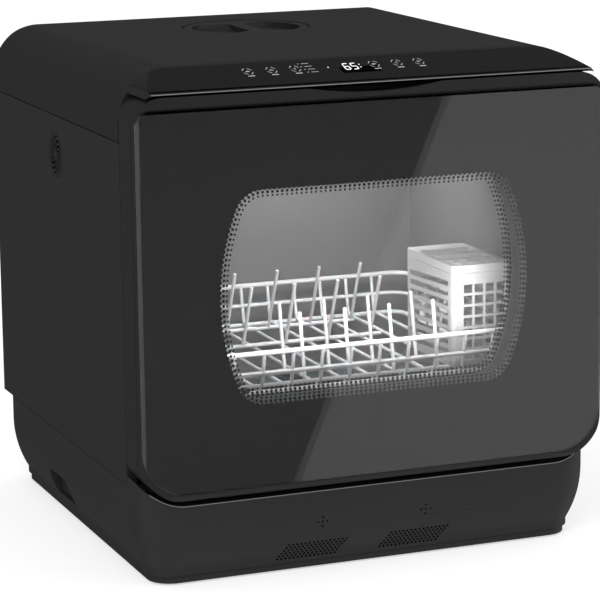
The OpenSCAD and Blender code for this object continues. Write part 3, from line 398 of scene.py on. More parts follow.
@dataclass(frozen=True)
class Moulded(Finish):
    """Injection-moulded plastic: a spark-eroded or polished tool leaves its grain on it.

    The eye gets a soft sheen that breaks up in a fine grain, and a slow drift in tone.
    """

    roughness: float = 0.5
    specular: float = 0.16
    grain_mm: float = 0.9
    grain_depth_mm: float = 0.02
    drift: float = 0.06
    drift_mm: float = 60.0
    subsurface: float = 0.0

    def shader(self, m: Material, place: NodeSocket) -> Node:
        """Adds the grain, the sheen that it breaks up, and the slow drift in tone."""
        slow = add_node(m, "ShaderNodeTexNoise",
                        {"Scale": per_metre(self.drift_mm), "Detail": 2.0}, {"Vector": place})
        tone = self.tone(m, slow, 1 - self.drift, 1 + self.drift)
        grain = add_node(m, "ShaderNodeTexNoise",
                         {"Scale": per_metre(self.grain_mm), "Detail": 3.0, "Roughness": 0.6},
                         {"Vector": place})
        sheen = add_node(m, "ShaderNodeMapRange",
                         {"To Min": self.roughness - 0.07, "To Max": self.roughness + 0.07},
                         {"Value": grain.outputs["Fac"]})
        bump = add_node(m, "ShaderNodeBump",
                        {"Strength": 1.0, "Distance": self.grain_depth_mm * MM},
                        {"Height": grain.outputs["Fac"]})
        return add_node(m, "ShaderNodeBsdfPrincipled",
                        {"Specular IOR Level": self.specular,
                         "Subsurface Weight": self.subsurface,
                         "Subsurface Scale": 2 * MM},
                        {"Base Color": tone, "Roughness": sheen.outputs[0],
                         "Normal": bump.outputs[0]})


@dataclass(frozen=True)
class PaintedSheet(Finish):
    """Pre-painted steel sheet: a thin satin coat with a trace of orange peel.

    The eye gets wide calm faces with a faint ripple in the reflection.
    """

    roughness: float = 0.42
    specular: float = 0.2
    peel_mm: float = 2.2
    peel_depth_mm: float = 0.012

    def shader(self, m: Material, place: NodeSocket) -> Node:
        """Adds the orange peel and a slow drift in tone."""
        slow = add_node(m, "ShaderNodeTexNoise", {"Scale": per_metre(140), "Detail": 1.0},
                        {"Vector": place})
        tone = self.tone(m, slow, 0.95, 1.05)
        peel = add_node(m, "ShaderNodeTexNoise",
                        {"Scale": per_metre(self.peel_mm), "Detail": 2.0}, {"Vector": place})
        sheen = add_node(m, "ShaderNodeMapRange",
                         {"To Min": self.roughness - 0.05, "To Max": self.roughness + 0.05},
                         {"Value": peel.outputs["Fac"]})
        bump = add_node(m, "ShaderNodeBump", {"Distance": self.peel_depth_mm * MM},
                        {"Height": peel.outputs["Fac"]})
        return add_node(m, "ShaderNodeBsdfPrincipled", {"Specular IOR Level": self.specular},
                        {"Base Color": tone, "Roughness": sheen.outputs[0],
                         "Normal": bump.outputs[0]})


@dataclass(frozen=True)
class RolledSteel(Finish):
    """Stainless steel sheet: rolled and brushed one way before it is drawn to shape.

    The eye gets long fine streaks, and highlights that smear across them.
    """

    roughness: float = 0.3
    streak_mm: Point = (60.0, 60.0, 1.2)
    metallic: float = 1.0

    def shader(self, m: Material, place: NodeSocket) -> Node:
        """Adds the streaks, drawn about ten times as coarse as a brush's."""
        scaled = add_node(m, "ShaderNodeMapping",
                          {"Scale": tuple(per_metre(s) for s in self.streak_mm)},
                          {"Vector": place})
        streak = add_node(m, "ShaderNodeTexNoise", {"Scale": 1.0, "Detail": 4.0},
                          {"Vector": scaled.outputs[0]})
        tone = self.tone(m, streak, 0.9, 1.08)
        sheen = add_node(m, "ShaderNodeMapRange",
                         {"To Min": self.roughness - 0.08, "To Max": self.roughness + 0.1},
                         {"Value": streak.outputs["Fac"]})
        bump = add_node(m, "ShaderNodeBump", {"Distance": 0.01 * MM},
                        {"Height": streak.outputs["Fac"]})
        return add_node(m, "ShaderNodeBsdfPrincipled", {"Metallic": self.metallic},
                        {"Base Color": tone, "Roughness": sheen.outputs[0],
                         "Normal": bump.outputs[0]})


@dataclass(frozen=True)
class FloatGlass(Finish):
    """Tempered float glass: fire-polished on both faces, with a body tint that drifts a little.

    The eye gets a clear view through it and one sharp reflection of what stands before it.
    """

    ior: float = 1.5

    def shader(self, m: Material, place: NodeSocket) -> Node:
        """Adds the glass with its tint."""
        slow = add_node(m, "ShaderNodeTexNoise", {"Scale": per_metre(180), "Detail": 0.0},
                        {"Vector": place})
        tone = self.tone(m, slow, 0.97, 1.0)
        return add_node(m, "ShaderNodeBsdfPrincipled",
                        {"Roughness": 0.0, "IOR": self.ior, "Transmission Weight": 1.0},
                        {"Base Color": tone})


@dataclass(frozen=True)
class PrintOrPaintedLight(Finish):
    """Screen-printed ink or enamel: a thin even coat whose edge is slightly soft. It also draws
    painted shade and painted highlights.

    The eye gets a flat mark with a faint mottle, and a glow: lit from behind on the display,
    painted light elsewhere.
    """

    glow: float = 0.0
    roughness: float = 0.55

    def shader(self, m: Material, place: NodeSocket) -> Node:
        """Adds the ink with its mottle and its glow."""
        mottle = add_node(m, "ShaderNodeTexNoise", {"Scale": per_metre(9), "Detail": 1.0},
                          {"Vector": place})
        tone = self.tone(m, mottle, 0.97, 1.03)
        return add_node(m, "ShaderNodeBsdfPrincipled",
                        {"Specular IOR Level": 0.0, "Roughness": self.roughness,
                         "Emission Color": linear(self.colour),
                         "Emission Strength": self.glow},
                        {"Base Color": tone})


# Dark textured polypropylene of the base, with the coarsest grain of the outside.
BASE_PLASTIC = Moulded("base_textured_pp", "#323232", 0.52, 0.14, 1.0, 0.03)
# ABS of the top cover: finer grain, so that the wide top looks calm.
COVER_PLASTIC = Moulded("cover_satin_abs", "#2a2a2a", 0.46, 0.14, 0.8, 0.015)
DOOR_PLASTIC = Moulded("door_satin_abs", "#292929", 0.44, 0.14, 0.8, 0.015)
SIDE_COAT = PaintedSheet("side_painted_steel", "#2c2c2c")
REAR_COAT = PaintedSheet("rear_painted_steel", "#2d2d2d", 0.5)
# Acrylic touch strip, polished, so almost no grain.
STRIP_GLOSS = Moulded("strip_polished_acrylic", "#171717", 0.12, 0.2, 3.0, 0.002, 0.03)
CAP_PLASTIC = Moulded("cap_satin_abs", "#262626", 0.4, 0.18, 0.7, 0.015)
TUB_STEEL = RolledSteel("tub_brushed_steel", "#b4b4b4", 0.46, (2.4, 60.0, 60.0), 0.8)
TRIM_STEEL = RolledSteel("small_rolled_steel", "#b9bcbf", 0.32, (30.0, 30.0, 1.0))
# Nylon-dipped wire: opaque white with a wet, slightly waxy gloss.
WIRE_COAT = Moulded("rack_nylon_coat", "#f2f3f4", 0.3, 0.5, 2.5, 0.02, 0.02, 30.0, 0.1)
BASKET_PLASTIC = Moulded("basket_white_pp", "#c4c4c3", 0.4, 0.45, 1.0, 0.02, 0.02, 30.0)
LINER_PLASTIC = Moulded("liner_grey_pp", "#a9acaf", 0.4, 0.4, 1.0, 0.02)
GREY_PLASTIC = Moulded("service_grey_pp", "#4a4d50", 0.5, 0.35, 1.2, 0.02)
PALE_PLASTIC = Moulded("tank_natural_pp", "#b9bcc0", 0.35, 0.4, 2.0, 0.02, 0.05, 40.0, 0.2)
DARK_PLASTIC = Moulded("fan_black_pa", "#1e1e1e", 0.5, 0.2, 1.0, 0.02)
PUMP_PLASTIC = Moulded("pump_glass_filled_pa", "#565a5e", 0.55, 0.35, 1.4, 0.04)
BLUE_PLASTIC = Moulded("pump_blue_pa", "#4c7583", 0.5, 0.35, 1.4, 0.04)
# Thermoplastic rubber: soft, dull and slightly blooming.
SOFT_RUBBER = Moulded("seal_black_tpe", "#1b1b1b", 0.72, 0.2, 1.6, 0.03, 0.12, 20.0)
GREY_RUBBER = Moulded("gasket_grey_silicone", "#4a4a4a", 0.6, 0.3, 1.6, 0.02)
LAMP_PLASTIC = Moulded("lamp_opal_pc", "#eef1f2", 0.2, 0.5, 2.0, 0.005, 0.02, 20.0, 0.3)
BOARD_LAMINATE = Moulded("board_green_laminate", "#23553a", 0.35, 0.4, 1.2, 0.02, 0.15, 8.0)
OUTER_GLASS = FloatGlass("door_smoked_glass", "#dedede")
INNER_GLASS = FloatGlass("door_clear_glass", "#efefef")
# The enamel's even dark tone is drawn as a faint glow, because shading made it grainy.
BLACK_ENAMEL = PrintOrPaintedLight("border_black_enamel", "#0b0b0b", 3.6)
# Printed white legends, given a faint glow of painted light, though nothing lights them from
# behind.
WHITE_INK_PAINTED_GLOW = PrintOrPaintedLight("legend_white_ink_painted_glow", "#b9b9b9", 0.35)
LIT_SEGMENT = PrintOrPaintedLight("display_lit_segment", "#f4f6f8", 0.9)
# Painted highlight: a pale grey line with a faint glow, laid on edges where a line of light falls.
EDGE_PAINTED_HIGHLIGHT = PrintOrPaintedLight("painted_edge_highlight", "#8c8c8c", 0.1)
# Painted shade: black discs stand for the shaded inside of the vent holes.
VENT_PAINTED_SHADE = PrintOrPaintedLight("vent_painted_shade", "#0b0b0b")


class Workshop:
    """Keeps one material per finish, and dresses pieces and CAD nodes with them."""

    SLOTS = {
        "side_panel_left": "side_sheet",
        "side_panel_right": "side_sheet",
        "back_panel": "back_sheet",
        "fill_duct": "fill_port",
        "fill_gasket": "gasket",
        "pump_hose": "hoses",
        "drain_hose": "hoses",
        "tub_frame": "tub",
        "rack_rim": "dish_rack",
        "rack_tines": "dish_rack",
        "basket_grid": "cutlery_basket",
        "window_tunnel": "door_liner",
    }

    def __init__(self) -> None:
        """Starts with an empty store of materials."""
        self.made: dict[str, Material] = {}
        groups = frame["record"]["behaviour"]["bodies"]
        self.body_of = {node: body for body, nodes in groups.items() for node in nodes}

    def material(self, finish: Finish) -> Material:
        """Returns the material of a finish, made once."""
        if finish.name not in self.made:
            self.made[finish.name] = finish.make()
        return self.made[finish.name]

    def dress(self, piece: Object, finish: Finish) -> Object:
        """Gives a piece one finish all over."""
        piece.data.materials.clear()
        piece.data.materials.append(self.material(finish))
        return piece

    def keep(self, finish: Finish, *nodes: str) -> None:
        """Gives CAD nodes that stay as they are one finish."""
        for node in nodes:
            self.dress(frame["nodes"][node], finish)
            log.info("CAD node %s keeps its shape, in %s", node, finish.name)

    def add(self, piece: Object, node: str, finish: Finish,
            replaces: bool = False) -> Object:
        """Fits a finished piece to the model.

        Args:
            piece: The mesh object, in place.
            node: The CAD node that it belongs to or stands for.
            finish: Its finish.
            replaces: Whether the CAD node is hidden behind it.

        Returns:
            The same object.
        """
        self.dress(piece, finish)
        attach(piece, self.body_of[node])
        if replaces:
            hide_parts(node)
        log.info("piece %s rides on %s, in %s", piece.name, self.body_of[node], finish.name)
        return piece

    def rework(self, node: str, name: str, finish: Finish, edge: float) -> Object:
        """Replaces a CAD node by a smooth copy with softened edges.

        Args:
            node: The CAD node.
            name: Name of the new piece.
            finish: Its finish.
            edge: Width of the edge rounding in millimetres, or 0 for none.

        Returns:
            The new piece.
        """
        piece = merged_copy(node, name, flatten=edge > 0)
        if edge:
            soften(piece, edge)
        else:
            smooth(piece)
        return self.add(piece, node, finish, replaces=True)


# ---------------------------------------------------------------- studio and camera


@dataclass
class ProductCamera:
    """The camera at the photograph's viewing angle."""

    place: Point = (-894.12, -2294.47, 710.46)
    azimuth: float = -21.586
    elevation: float = 11.852
    roll: float = -0.643
    focal_px: float = 2754.5
    frame_px: float = 600.0

    def axes(self) -> tuple[Vector, Vector, Vector]:
        """Right, up and forward of the camera."""
        a, e, r = (math.radians(x) for x in (self.azimuth, self.elevation, self.roll))
        forward = Vector((-math.sin(a) * math.cos(e), math.cos(a) * math.cos(e), -math.sin(e)))
        right = Vector((math.cos(a), math.sin(a), 0))
        up = right.cross(forward)
        return (right * math.cos(r) + up * math.sin(r),
                up * math.cos(r) - right * math.sin(r), forward)

    def build(self) -> Object:
        """Makes the camera and sets it as the scene's."""
        data = bpy.data.cameras.new("product_camera")
        data.sensor_width = 36.0
        data.lens = self.focal_px / self.frame_px * data.sensor_width
        data.clip_start, data.clip_end = 0.01, 50.0
        camera = bpy.data.objects.new("product_camera", data)
        bpy.context.scene.collection.objects.link(camera)
        right, up, forward = self.axes()
        turn = Matrix((right, up, -forward)).transposed().to_4x4()
        camera.matrix_world = Matrix.Translation(vec(self.place)) @ turn
        bpy.context.scene.camera = camera
        return camera

    def ray(self, u: float, v: float) -> Vector:
        """Direction from the camera through a pixel of the frame."""
        right, up, forward = self.axes()
        half = self.frame_px / 2
        return (forward * self.focal_px + right * (u - half) - up * (v - half)).normalized()


@dataclass(frozen=True)
class SoftLamp:
    """A rectangular lamp: its middle, the point that it faces, its width and height, its power."""

    name: str
    place: Point
    aim: Point
    size: Pair
    watts: float


@dataclass
class Studio:
    """Pale floor, white surroundings, soft lamps, and dark cards that only mirrors see."""

    camera: ProductCamera
    floor_half: float = 6000.0
    paper_tones: Pair = (0.8, 0.83)
    paper_lift: float = 0.55
    ambient: float = 0.62
    lamps: tuple[SoftLamp, ...] = (
        SoftLamp("key_lamp", (-1500, -1900, 2100), (0, 0, 220), (1500, 1500), 17.0),
        SoftLamp("fill_lamp", (1900, -1500, 1400), (0, 0, 220), (1400, 1400), 7.0),
        SoftLamp("tub_lamp_glow", (0, -74, 350), (0, -44, 100), (250, 120), 0.1),
        SoftLamp("tub_front_glow", (0, -167, 245), (0, 120, 235), (250, 120), 0.6),
        SoftLamp("tub_upper_glow", (70, -20, 352), (70, 128, 262), (70, 20), 1.35))
    rear_tone: float = 0.115
    rear_y: float = 1500.0
    rear_half: float = 6000.0
    rear_z: Pair = (-3500.0, 5000.0)
    glass_y: float = -213.0
    card_y: float = -1500.0
    # The ends of the photograph's diagonal glare edge, and how far the cards reach, in pixels.
    glare_upper: Pair = (455.0, 84.0)
    glare_lower: Pair = (302.0, 478.0)
    glare_step: float = 7.0
    card_left: float = -260.0
    card_rows: Pair = (-150.0, 700.0)

    def world(self) -> None:
        """White behind the object, in mirrors and through glass; a plain level on the rest."""
        world = bpy.data.worlds.new("studio_world")
        bpy.context.scene.world = world
        world.use_nodes = True
        world.node_tree.nodes.clear()
        path = add_node(world, "ShaderNodeLightPath")
        seen = add_node(world, "ShaderNodeMath", {"operation": "MAXIMUM"},
                        {0: path.outputs["Is Camera Ray"], 1: path.outputs["Is Glossy Ray"]})
        seen = add_node(world, "ShaderNodeMath", {"operation": "MAXIMUM"},
                        {0: seen.outputs[0], 1: path.outputs["Is Transmission Ray"]})
        level = add_node(world, "ShaderNodeMapRange", {"To Min": self.ambient, "To Max": 1.0},
                         {"Value": seen.outputs[0]})
        back = add_node(world, "ShaderNodeBackground", {"Color": (1, 1, 1, 1)},
                        {"Strength": level.outputs[0]})
        add_node(world, "ShaderNodeOutputWorld", None, {"Surface": back.outputs[0]})

    def floor(self) -> None:
        """A pale floor that lifts to white for the camera and keeps the shadow."""
        bpy.ops.object.select_all(action="DESELECT")
        bpy.ops.mesh.primitive_plane_add(size=2 * self.floor_half * MM, location=(0, 0, 0))
        floor = finished(bpy.context.active_object, "studio_floor")
        m = new_material("studio_pale_paper")
        path = add_node(m, "ShaderNodeLightPath")
        place = add_node(m, "ShaderNodeTexCoord").outputs["Object"]
        low, high = self.paper_tones
        fibre = add_node(m, "ShaderNodeTexNoise", {"Scale": per_metre(3), "Detail": 2.0},
                         {"Vector": place})
        tone = add_node(m, "ShaderNodeMix",
                        {"data_type": "RGBA", 6: (low, low, low, 1), 7: (high, high, high, 1)},
                        {0: fibre.outputs["Fac"]})
        matt = add_node(m, "ShaderNodeBsdfDiffuse", None, {"Color": tone.outputs[2]})
        lift = add_node(m, "ShaderNodeMath", {"operation": "MULTIPLY", 1: self.paper_lift},
                        {0: path.outputs["Is Camera Ray"]})
        glow = add_node(m, "ShaderNodeEmission", {"Color": (1, 1, 1, 1)},
                        {"Strength": lift.outputs[0]})
        both = add_node(m, "ShaderNodeAddShader", None, {0: matt.outputs[0], 1: glow.outputs[0]})
        add_node(m, "ShaderNodeOutputMaterial", None, {"Surface": both.outputs[0]})
        floor.data.materials.append(m)
        # The glass would otherwise mirror the floor as a second, greyer card.
        floor.visible_glossy = False

    def light(self, lamp: SoftLamp) -> None:
        """Adds one lamp that no glossy face mirrors."""
        data = bpy.data.lights.new(lamp.name, "AREA")
        data.shape = "RECTANGLE"
        data.size, data.size_y = (side * MM for side in lamp.size)
        data.energy = lamp.watts
        light = bpy.data.objects.new(lamp.name, data)
        bpy.context.scene.collection.objects.link(light)
        light.location = vec(lamp.place)
        light.rotation_euler = (vec(lamp.aim) - vec(lamp.place)).to_track_quat("-Z", "Y").to_euler()
        light.visible_glossy = False
        log.info("lamp %s, %.1f W", lamp.name, lamp.watts)

    def mirror_point(self, u: float, v: float, card_y: float) -> Vector:
        """Where the line of sight through a pixel, mirrored in the glass, meets a card."""
        eye = Vector(self.camera.place)
        ray = self.camera.ray(u, v)
        hit = eye + ray * ((self.glass_y - eye.y) / ray.y)
        ray.y = -ray.y
        return hit + ray * ((card_y - hit.y) / ray.y)

    def card(self, name: str, corners: Sequence[Vector], tone: float) -> None:
        """Adds a dark card that only mirrors see.

        Args:
            name: Name of the card.
            corners: Its corners in millimetres, in order.
            tone: How bright it is, where 1 is white.
        """
        bpy.ops.object.select_all(action="DESELECT")
        bpy.ops.mesh.primitive_plane_add(size=1)
        card = bpy.context.active_object
        # A plane's vertices run row by row, the card's corners round its edge.
        for vert, index in zip(card.data.vertices, (0, 1, 3, 2)):
            vert.co = vec(corners[index])
        card.name = name
        m = new_material(name + "_cloth")
        glow = add_node(m, "ShaderNodeEmission",
                        {"Color": (tone, tone, tone, 1), "Strength": 1.0})
        add_node(m, "ShaderNodeOutputMaterial", None, {"Surface": glow.outputs[0]})
        card.data.materials.append(m)
        for kind in ("camera", "diffuse", "transmission", "volume_scatter", "shadow"):
            setattr(card, "visible_" + kind, False)

    def build(self) -> None:
        """Builds the studio."""
        self.world()
        self.floor()
        for lamp in self.lamps:
            self.light(lamp)
        # Dark cloth behind the object keeps satin faces dark that are seen at a flat angle.
        (low, high), half = self.rear_z, self.rear_half
        corners = ((-half, low), (half, low), (half, high), (-half, high))
        self.card("flag_rear", [Vector((x, self.rear_y, z)) for x, z in corners], self.rear_tone)
        # The card that the glass mirrors ends along the glare edge, with one paler step beyond.
        (u, top), (lower_u, lower_v) = self.glare_upper, self.glare_lower
        slope = (lower_u - u) / (lower_v - top)
        for name, wider, tone, depth in (("flag_dark", 0.0, 0.0, 0.0),
                                         ("flag_step", self.glare_step, 0.5, -8.0)):
            y = self.card_y + depth
            right = [self.mirror_point(u + slope * (v - top) - self.glare_step + wider, v, y)
                     for v in self.card_rows]
            left = [self.mirror_point(self.card_left, v, y) for v in reversed(self.card_rows)]
            self.card(name, right + left, tone)


# ---------------------------------------------------------------- casing


@dataclass
class Casing:
    """Base, side and rear sheets and top cover."""

    shop: Workshop
    vent_rows: int = 6
    vent_holes: int = 15
    vent_pitch: float = 3.8
    vent_top_z: float = 25.0
    vent_step: float = 2.6
    vent_slant: float = 1.8
    vent_starts: tuple[float, ...] = (-77.0, 18.0)
    vent_r: float = 1.05
    vent_from_y: float = -260.0
    vent_proud: float = 0.12
    # The painted highlight lines: their radius and where they run.
    glint_r: float = 0.4
    nose_ends: Pair = (-197.0, 199.0)
    nose_y: float = -213.0
    nose_z: float = 418.8
    half_w: float = 210.0
    corner_r: float = 34.0
    # The painted highlight under the door follows its edge: straight in the middle, and curving
    # down at both ends.
    cradle_y: float = -205.0
    cradle_z: float = 121.0
    cradle_flat: float = 169.5
    cradle_arc: float = 49.0
    cradle_end: int = 200
    cradle_step: int = 4

    def painted_edge_glints(self) -> None:
        """Painted highlights: pale lines with a faint glow on the edges over the door and under it.
        """
        nose = bent_wire([(x, self.nose_y, self.nose_z) for x in self.nose_ends], self.glint_r)
        self.shop.add(finished(nose, "nose_painted_highlight"), "top_cover", EDGE_PAINTED_HIGHLIGHT)
        points = []
        for x in range(-self.cradle_end, self.cradle_end + 1, self.cradle_step):
            aside = max(abs(x) - self.cradle_flat, 0.0)
            turn = max(abs(x) - (self.half_w - self.corner_r), 0.0)
            points.append((x, self.cradle_y + self.corner_r
                           - math.sqrt(self.corner_r ** 2 - turn ** 2),
                           self.cradle_z - math.sqrt(self.cradle_arc ** 2 - aside ** 2)))
        cradle = bent_wire(points, self.glint_r)
        self.shop.add(finished(cradle, "cradle_painted_highlight"), "base_housing", EDGE_PAINTED_HIGHLIGHT)

    def foot_vents(self, shell: Object) -> None:
        """Two slanted fields of small holes low on the front, drawn as black discs of painted shade
        laid on the base's skin.

        Args:
            shell: The base's outer shell, which the holes lie on.
        """
        places = [(start - row * self.vent_slant + i * self.vent_pitch, self.vent_from_y,
                   self.vent_top_z - row * self.vent_step)
                  for start in self.vent_starts
                  for row in range(self.vent_rows) for i in range(self.vent_holes)]
        vents = join(front_discs(self.vent_r, places), "foot_vents")
        apply_modifier(vents, "SHRINKWRAP", target=shell, wrap_method="PROJECT",
                       wrap_mode="ON_SURFACE", use_project_y=True, use_positive_direction=True,
                       use_negative_direction=False, offset=0.0)
        self.shop.add(moved(vents, shift((0, -self.vent_proud, 0))), "base_housing", VENT_PAINTED_SHADE)

    def build(self) -> None:
        """Reworks the outer shells and dresses the hidden ones."""
        shop = self.shop
        shell = shop.rework("base_housing", "base_shell", BASE_PLASTIC, 0.5)
        self.foot_vents(shell)
        shop.keep(BASE_PLASTIC, "base_plate")
        shop.keep(SOFT_RUBBER, "rubber_feet")
        shop.rework("side_panel_left", "left_sheet", SIDE_COAT, 0.4)
        shop.rework("side_panel_right", "right_sheet", SIDE_COAT, 0.4)
        shop.rework("back_panel", "rear_sheet", REAR_COAT, 0.3)
        shop.rework("panel_screws", "rear_screws", TRIM_STEEL, 0.2)
        shop.rework("top_cover", "cover_shell", COVER_PLASTIC, 0.5)
        self.painted_edge_glints()
        shop.keep(BOARD_LAMINATE, "control_board")


class Sign(Enum):
    """The plain signs that stand in the touch symbols."""

    DASH = "dash"
    DOT = "dot"
    BARS = "bars"


@dataclass(frozen=True)
class TouchKey:
    """One touch symbol on the strip: a broken ring, a small sign in it and a line under it."""

    x: float
    sign: Sign


@dataclass
class ControlStrip:
    """The glossy strip on the sloping face, with its symbols and its lit figures."""

    shop: Workshop
    front_z: float = 419.5
    front_y: float = -213.0
    rise: float = 15.5
    run: float = 56.0
    keys: tuple[TouchKey, ...] = (
        TouchKey(-101, Sign.DASH), TouchKey(-80, Sign.BARS), TouchKey(-59, Sign.DOT),
        TouchKey(12, Sign.DASH), TouchKey(33, Sign.DOT), TouchKey(53, Sign.BARS))
    key_along: float = 36.0
    ring_r: float = 4.2
    ring_line: float = 0.55
    ring_turn: float = 27.0
    # A short list of programmes: where its first line stands, and what each line adds.
    list_x: float = -47.0
    list_along: float = 45.5
    list_lines: int = 4
    list_lean: float = 0.8
    list_pitch: float = 6.2
    figures: tuple[tuple[float, str], ...] = ((-13.5, "afgcde"), (-6.5, "afgcd"))
    figure_along: float = 34.0
    figure_lift: float = 0.06
    figure_lean: float = 0.12
    lit_dots: tuple[Pair, ...] = ((-30.0, 34.5), (-1.1, 37.0), (-1.4, 31.5))
    # The marks are drawn taller on the slope, so that they look square from the front.
    upright: Matrix = field(default_factory=lambda: Matrix.Diagonal((1.0, 1.5, 1.0, 1.0)))

    def on_face(self, x: float, along: float, lift: float = 0.05) -> Matrix:
        """Place on the sloping face: across, up the slope and proud of it, in millimetres."""
        angle = math.atan2(self.rise, self.run)
        place = Vector((x, self.front_y + along * math.cos(angle),
                        self.front_z + along * math.sin(angle)))
        normal = Vector((0, -math.sin(angle), math.cos(angle)))
        return Matrix.Translation((place + normal * lift) * MM) @ Matrix.Rotation(angle, 4, "X")

    def bar(self, width: float, height: float) -> Object:
        """A small printed bar with clipped corners."""
        w, h, c = width / 2, height / 2, min(width, height) / 4
        return flat_outline([(-w + c, -h), (w - c, -h), (w, -h + c), (w, h - c), (w - c, h),
                             (-w + c, h), (-w, h - c), (-w, -h + c)], "bar")

    def arc(self, radius: float, width: float, start: float, stop: float) -> Object:
        """A printed arc from one angle to another, in degrees."""
        steps = 6
        turn = [math.radians(start + (stop - start) * i / steps) for i in range(steps + 1)]
        outer = [((radius + width / 2) * math.cos(a), (radius + width / 2) * math.sin(a))
                 for a in turn]
        inner = [((radius - width / 2) * math.cos(a), (radius - width / 2) * math.sin(a))
                 for a in reversed(turn)]
        return flat_outline(outer + inner, "arc")

    def key(self, key: TouchKey) -> list[Object]:
        """Draws one key flat in the XY plane, its middle at the origin."""
        marks = [self.arc(self.ring_r, self.ring_line, a - self.ring_turn, a + self.ring_turn)
                 for a in (45, 135, 225, 315)]
        if key.sign is Sign.DASH:
            marks.append(self.bar(3.2, 1.3))
        elif key.sign is Sign.DOT:
            marks.append(self.arc(0.9, 0.5, 0, 300))
        else:
            for i in (-1, 0, 1):
                marks.append(moved(self.bar(0.45, 2.4), shift((i * 1.1, 0, 0))))
        marks.append(moved(self.bar(6.0, 1.0), shift((0, -6.6, 0))))
        return marks

    def figure(self, segments: str) -> list[Object]:
        """Seven-segment figure, slanted as on real displays; a is the top segment."""
        w, h, t = 4.4, 8.4, 0.9
        gap = t * 0.6
        spots = {"a": (0, h / 2, 0), "g": (0, 0, 0), "d": (0, -h / 2, 0), "f": (-w / 2, h / 4, 1),
                 "b": (w / 2, h / 4, 1), "e": (-w / 2, -h / 4, 1), "c": (w / 2, -h / 4, 1)}
        made = []
        for letter in segments:
            x, y, upright = spots[letter]
            size = (t, h / 2 - gap) if upright else (w - gap, t)
            made.append(moved(self.bar(*size), shift((x + y * self.figure_lean, y, 0))))
        return made

    def lay(self, marks: Iterable[Object], place: Matrix) -> list[Object]:
        """Moves flat marks onto the face."""
        return [moved(mark, place) for mark in marks]

    def build(self) -> None:
        """Builds the strip."""
        shop = self.shop
        shop.rework("control_panel", "touch_strip", STRIP_GLOSS, 0.3)
        shop.keep(STRIP_GLOSS, "display_window")
        marks: list[Object] = []
        for key in self.keys:
            marks += self.lay(self.key(key), self.on_face(key.x, self.key_along) @ self.upright)
        for row in range(self.list_lines):
            x, along = self.list_x + row * self.list_lean, self.list_along - row * self.list_pitch
            marks += self.lay([self.bar(6.5, 0.8)], self.on_face(x, along))
            marks += self.lay([self.bar(1.2, 1.2)], self.on_face(x - 6, along))
        shop.add(join(marks, "key_legends"), "control_panel", WHITE_INK_PAINTED_GLOW)
        figures: list[Object] = []
        for x, lit in self.figures:
            place = self.on_face(x, self.figure_along, self.figure_lift) @ self.upright
            figures += self.lay(self.figure(lit), place)
        for x, along in self.lit_dots:
            figures += self.lay([self.bar(1.1, 1.6)], self.on_face(x, along, self.figure_lift))
        shop.add(join(figures, "display_figures"), "control_panel", LIT_SEGMENT)


@dataclass
class FillPort:
    """Fill cap, port, duct and tank."""

    shop: Workshop

    def build(self) -> None:
        """Builds the port."""
        shop = self.shop
        shop.rework("fill_cap", "fill_lid", CAP_PLASTIC, 0.5)
        shop.keep(GREY_PLASTIC, "fill_port", "fill_duct")
        shop.keep(GREY_RUBBER, "fill_gasket")
        shop.keep(PALE_PLASTIC, "water_tank")


@dataclass
class SideVent:
    """Round side grille and the fan behind it."""

    shop: Workshop

    def build(self) -> None:
        """Builds the vent."""
        self.shop.rework("vent_grille", "vent_rose", COVER_PLASTIC, 0.2)
        self.shop.keep(DARK_PLASTIC, "fan_housing", "fan_rotor")


# ---------------------------------------------------------------- door


@dataclass
class Window:
    """Outline of the window: flat top and bottom, bulging sides, rounded corners."""

    half_w: float = 140.0
    middle_z: float = 245.0
    half_h: float = 91.0
    side_r: float = 200.0
    corner_r: float = 26.0

    def outline(self, grow: float, step: float) -> list[EdgePoint]:
        """Points round the window at an even step, each with its outward normal.

        Args:
            grow: How far outside the window's edge they lie.
            step: Distance between them along the edge.

        Returns:
            Rows of x, z, and the normal's x and z.
        """
        side, half_h, corner = self.side_r + grow, self.half_h + grow, self.corner_r + grow
        arc_x = self.side_r - self.half_w
        reach = math.sqrt((side - corner) ** 2 - (half_h - corner) ** 2)
        lean = math.asin((half_h - corner) / (side - corner))
        count = 240
        share = [i / count for i in range(count + 1)]
        bulge = [(side * math.cos(a) - arc_x, side * math.sin(a), math.cos(a), math.sin(a))
                 for a in (lean * (2 * s - 1) for s in share)]
        turn = [(reach - arc_x + corner * math.cos(a), half_h - corner + corner * math.sin(a),
                 math.cos(a), math.sin(a))
                for a in (lean + (math.pi / 2 - lean) * s for s in share[1:])]
        low_turn = [(x, -z, nx, -nz) for x, z, nx, nz in reversed(turn)]
        right = low_turn + bulge + turn
        path = right + [(-x, z, -nx, nz) for x, z, nx, nz in reversed(right)]
        path.append(path[0])
        return self.even(path, step)

    def even(self, path: list[EdgePoint], step: float) -> list[EdgePoint]:
        """Walks a closed path and drops a point at every step."""
        lengths = [math.dist(a[:2], b[:2]) for a, b in zip(path, path[1:])]
        total = sum(lengths)
        count = round(total / step)
        made, run, index = [], 0.0, 0
        for i in range(count):
            goal = total * i / count
            while run + lengths[index] < goal:
                run += lengths[index]
                index += 1
            share = (goal - run) / lengths[index] if lengths[index] else 0.0
            a, b = path[index], path[index + 1]
            x, z, nx, nz = (p + (q - p) * share for p, q in zip(a, b))
            made.append((x, z + self.middle_z, nx, nz))
        return made


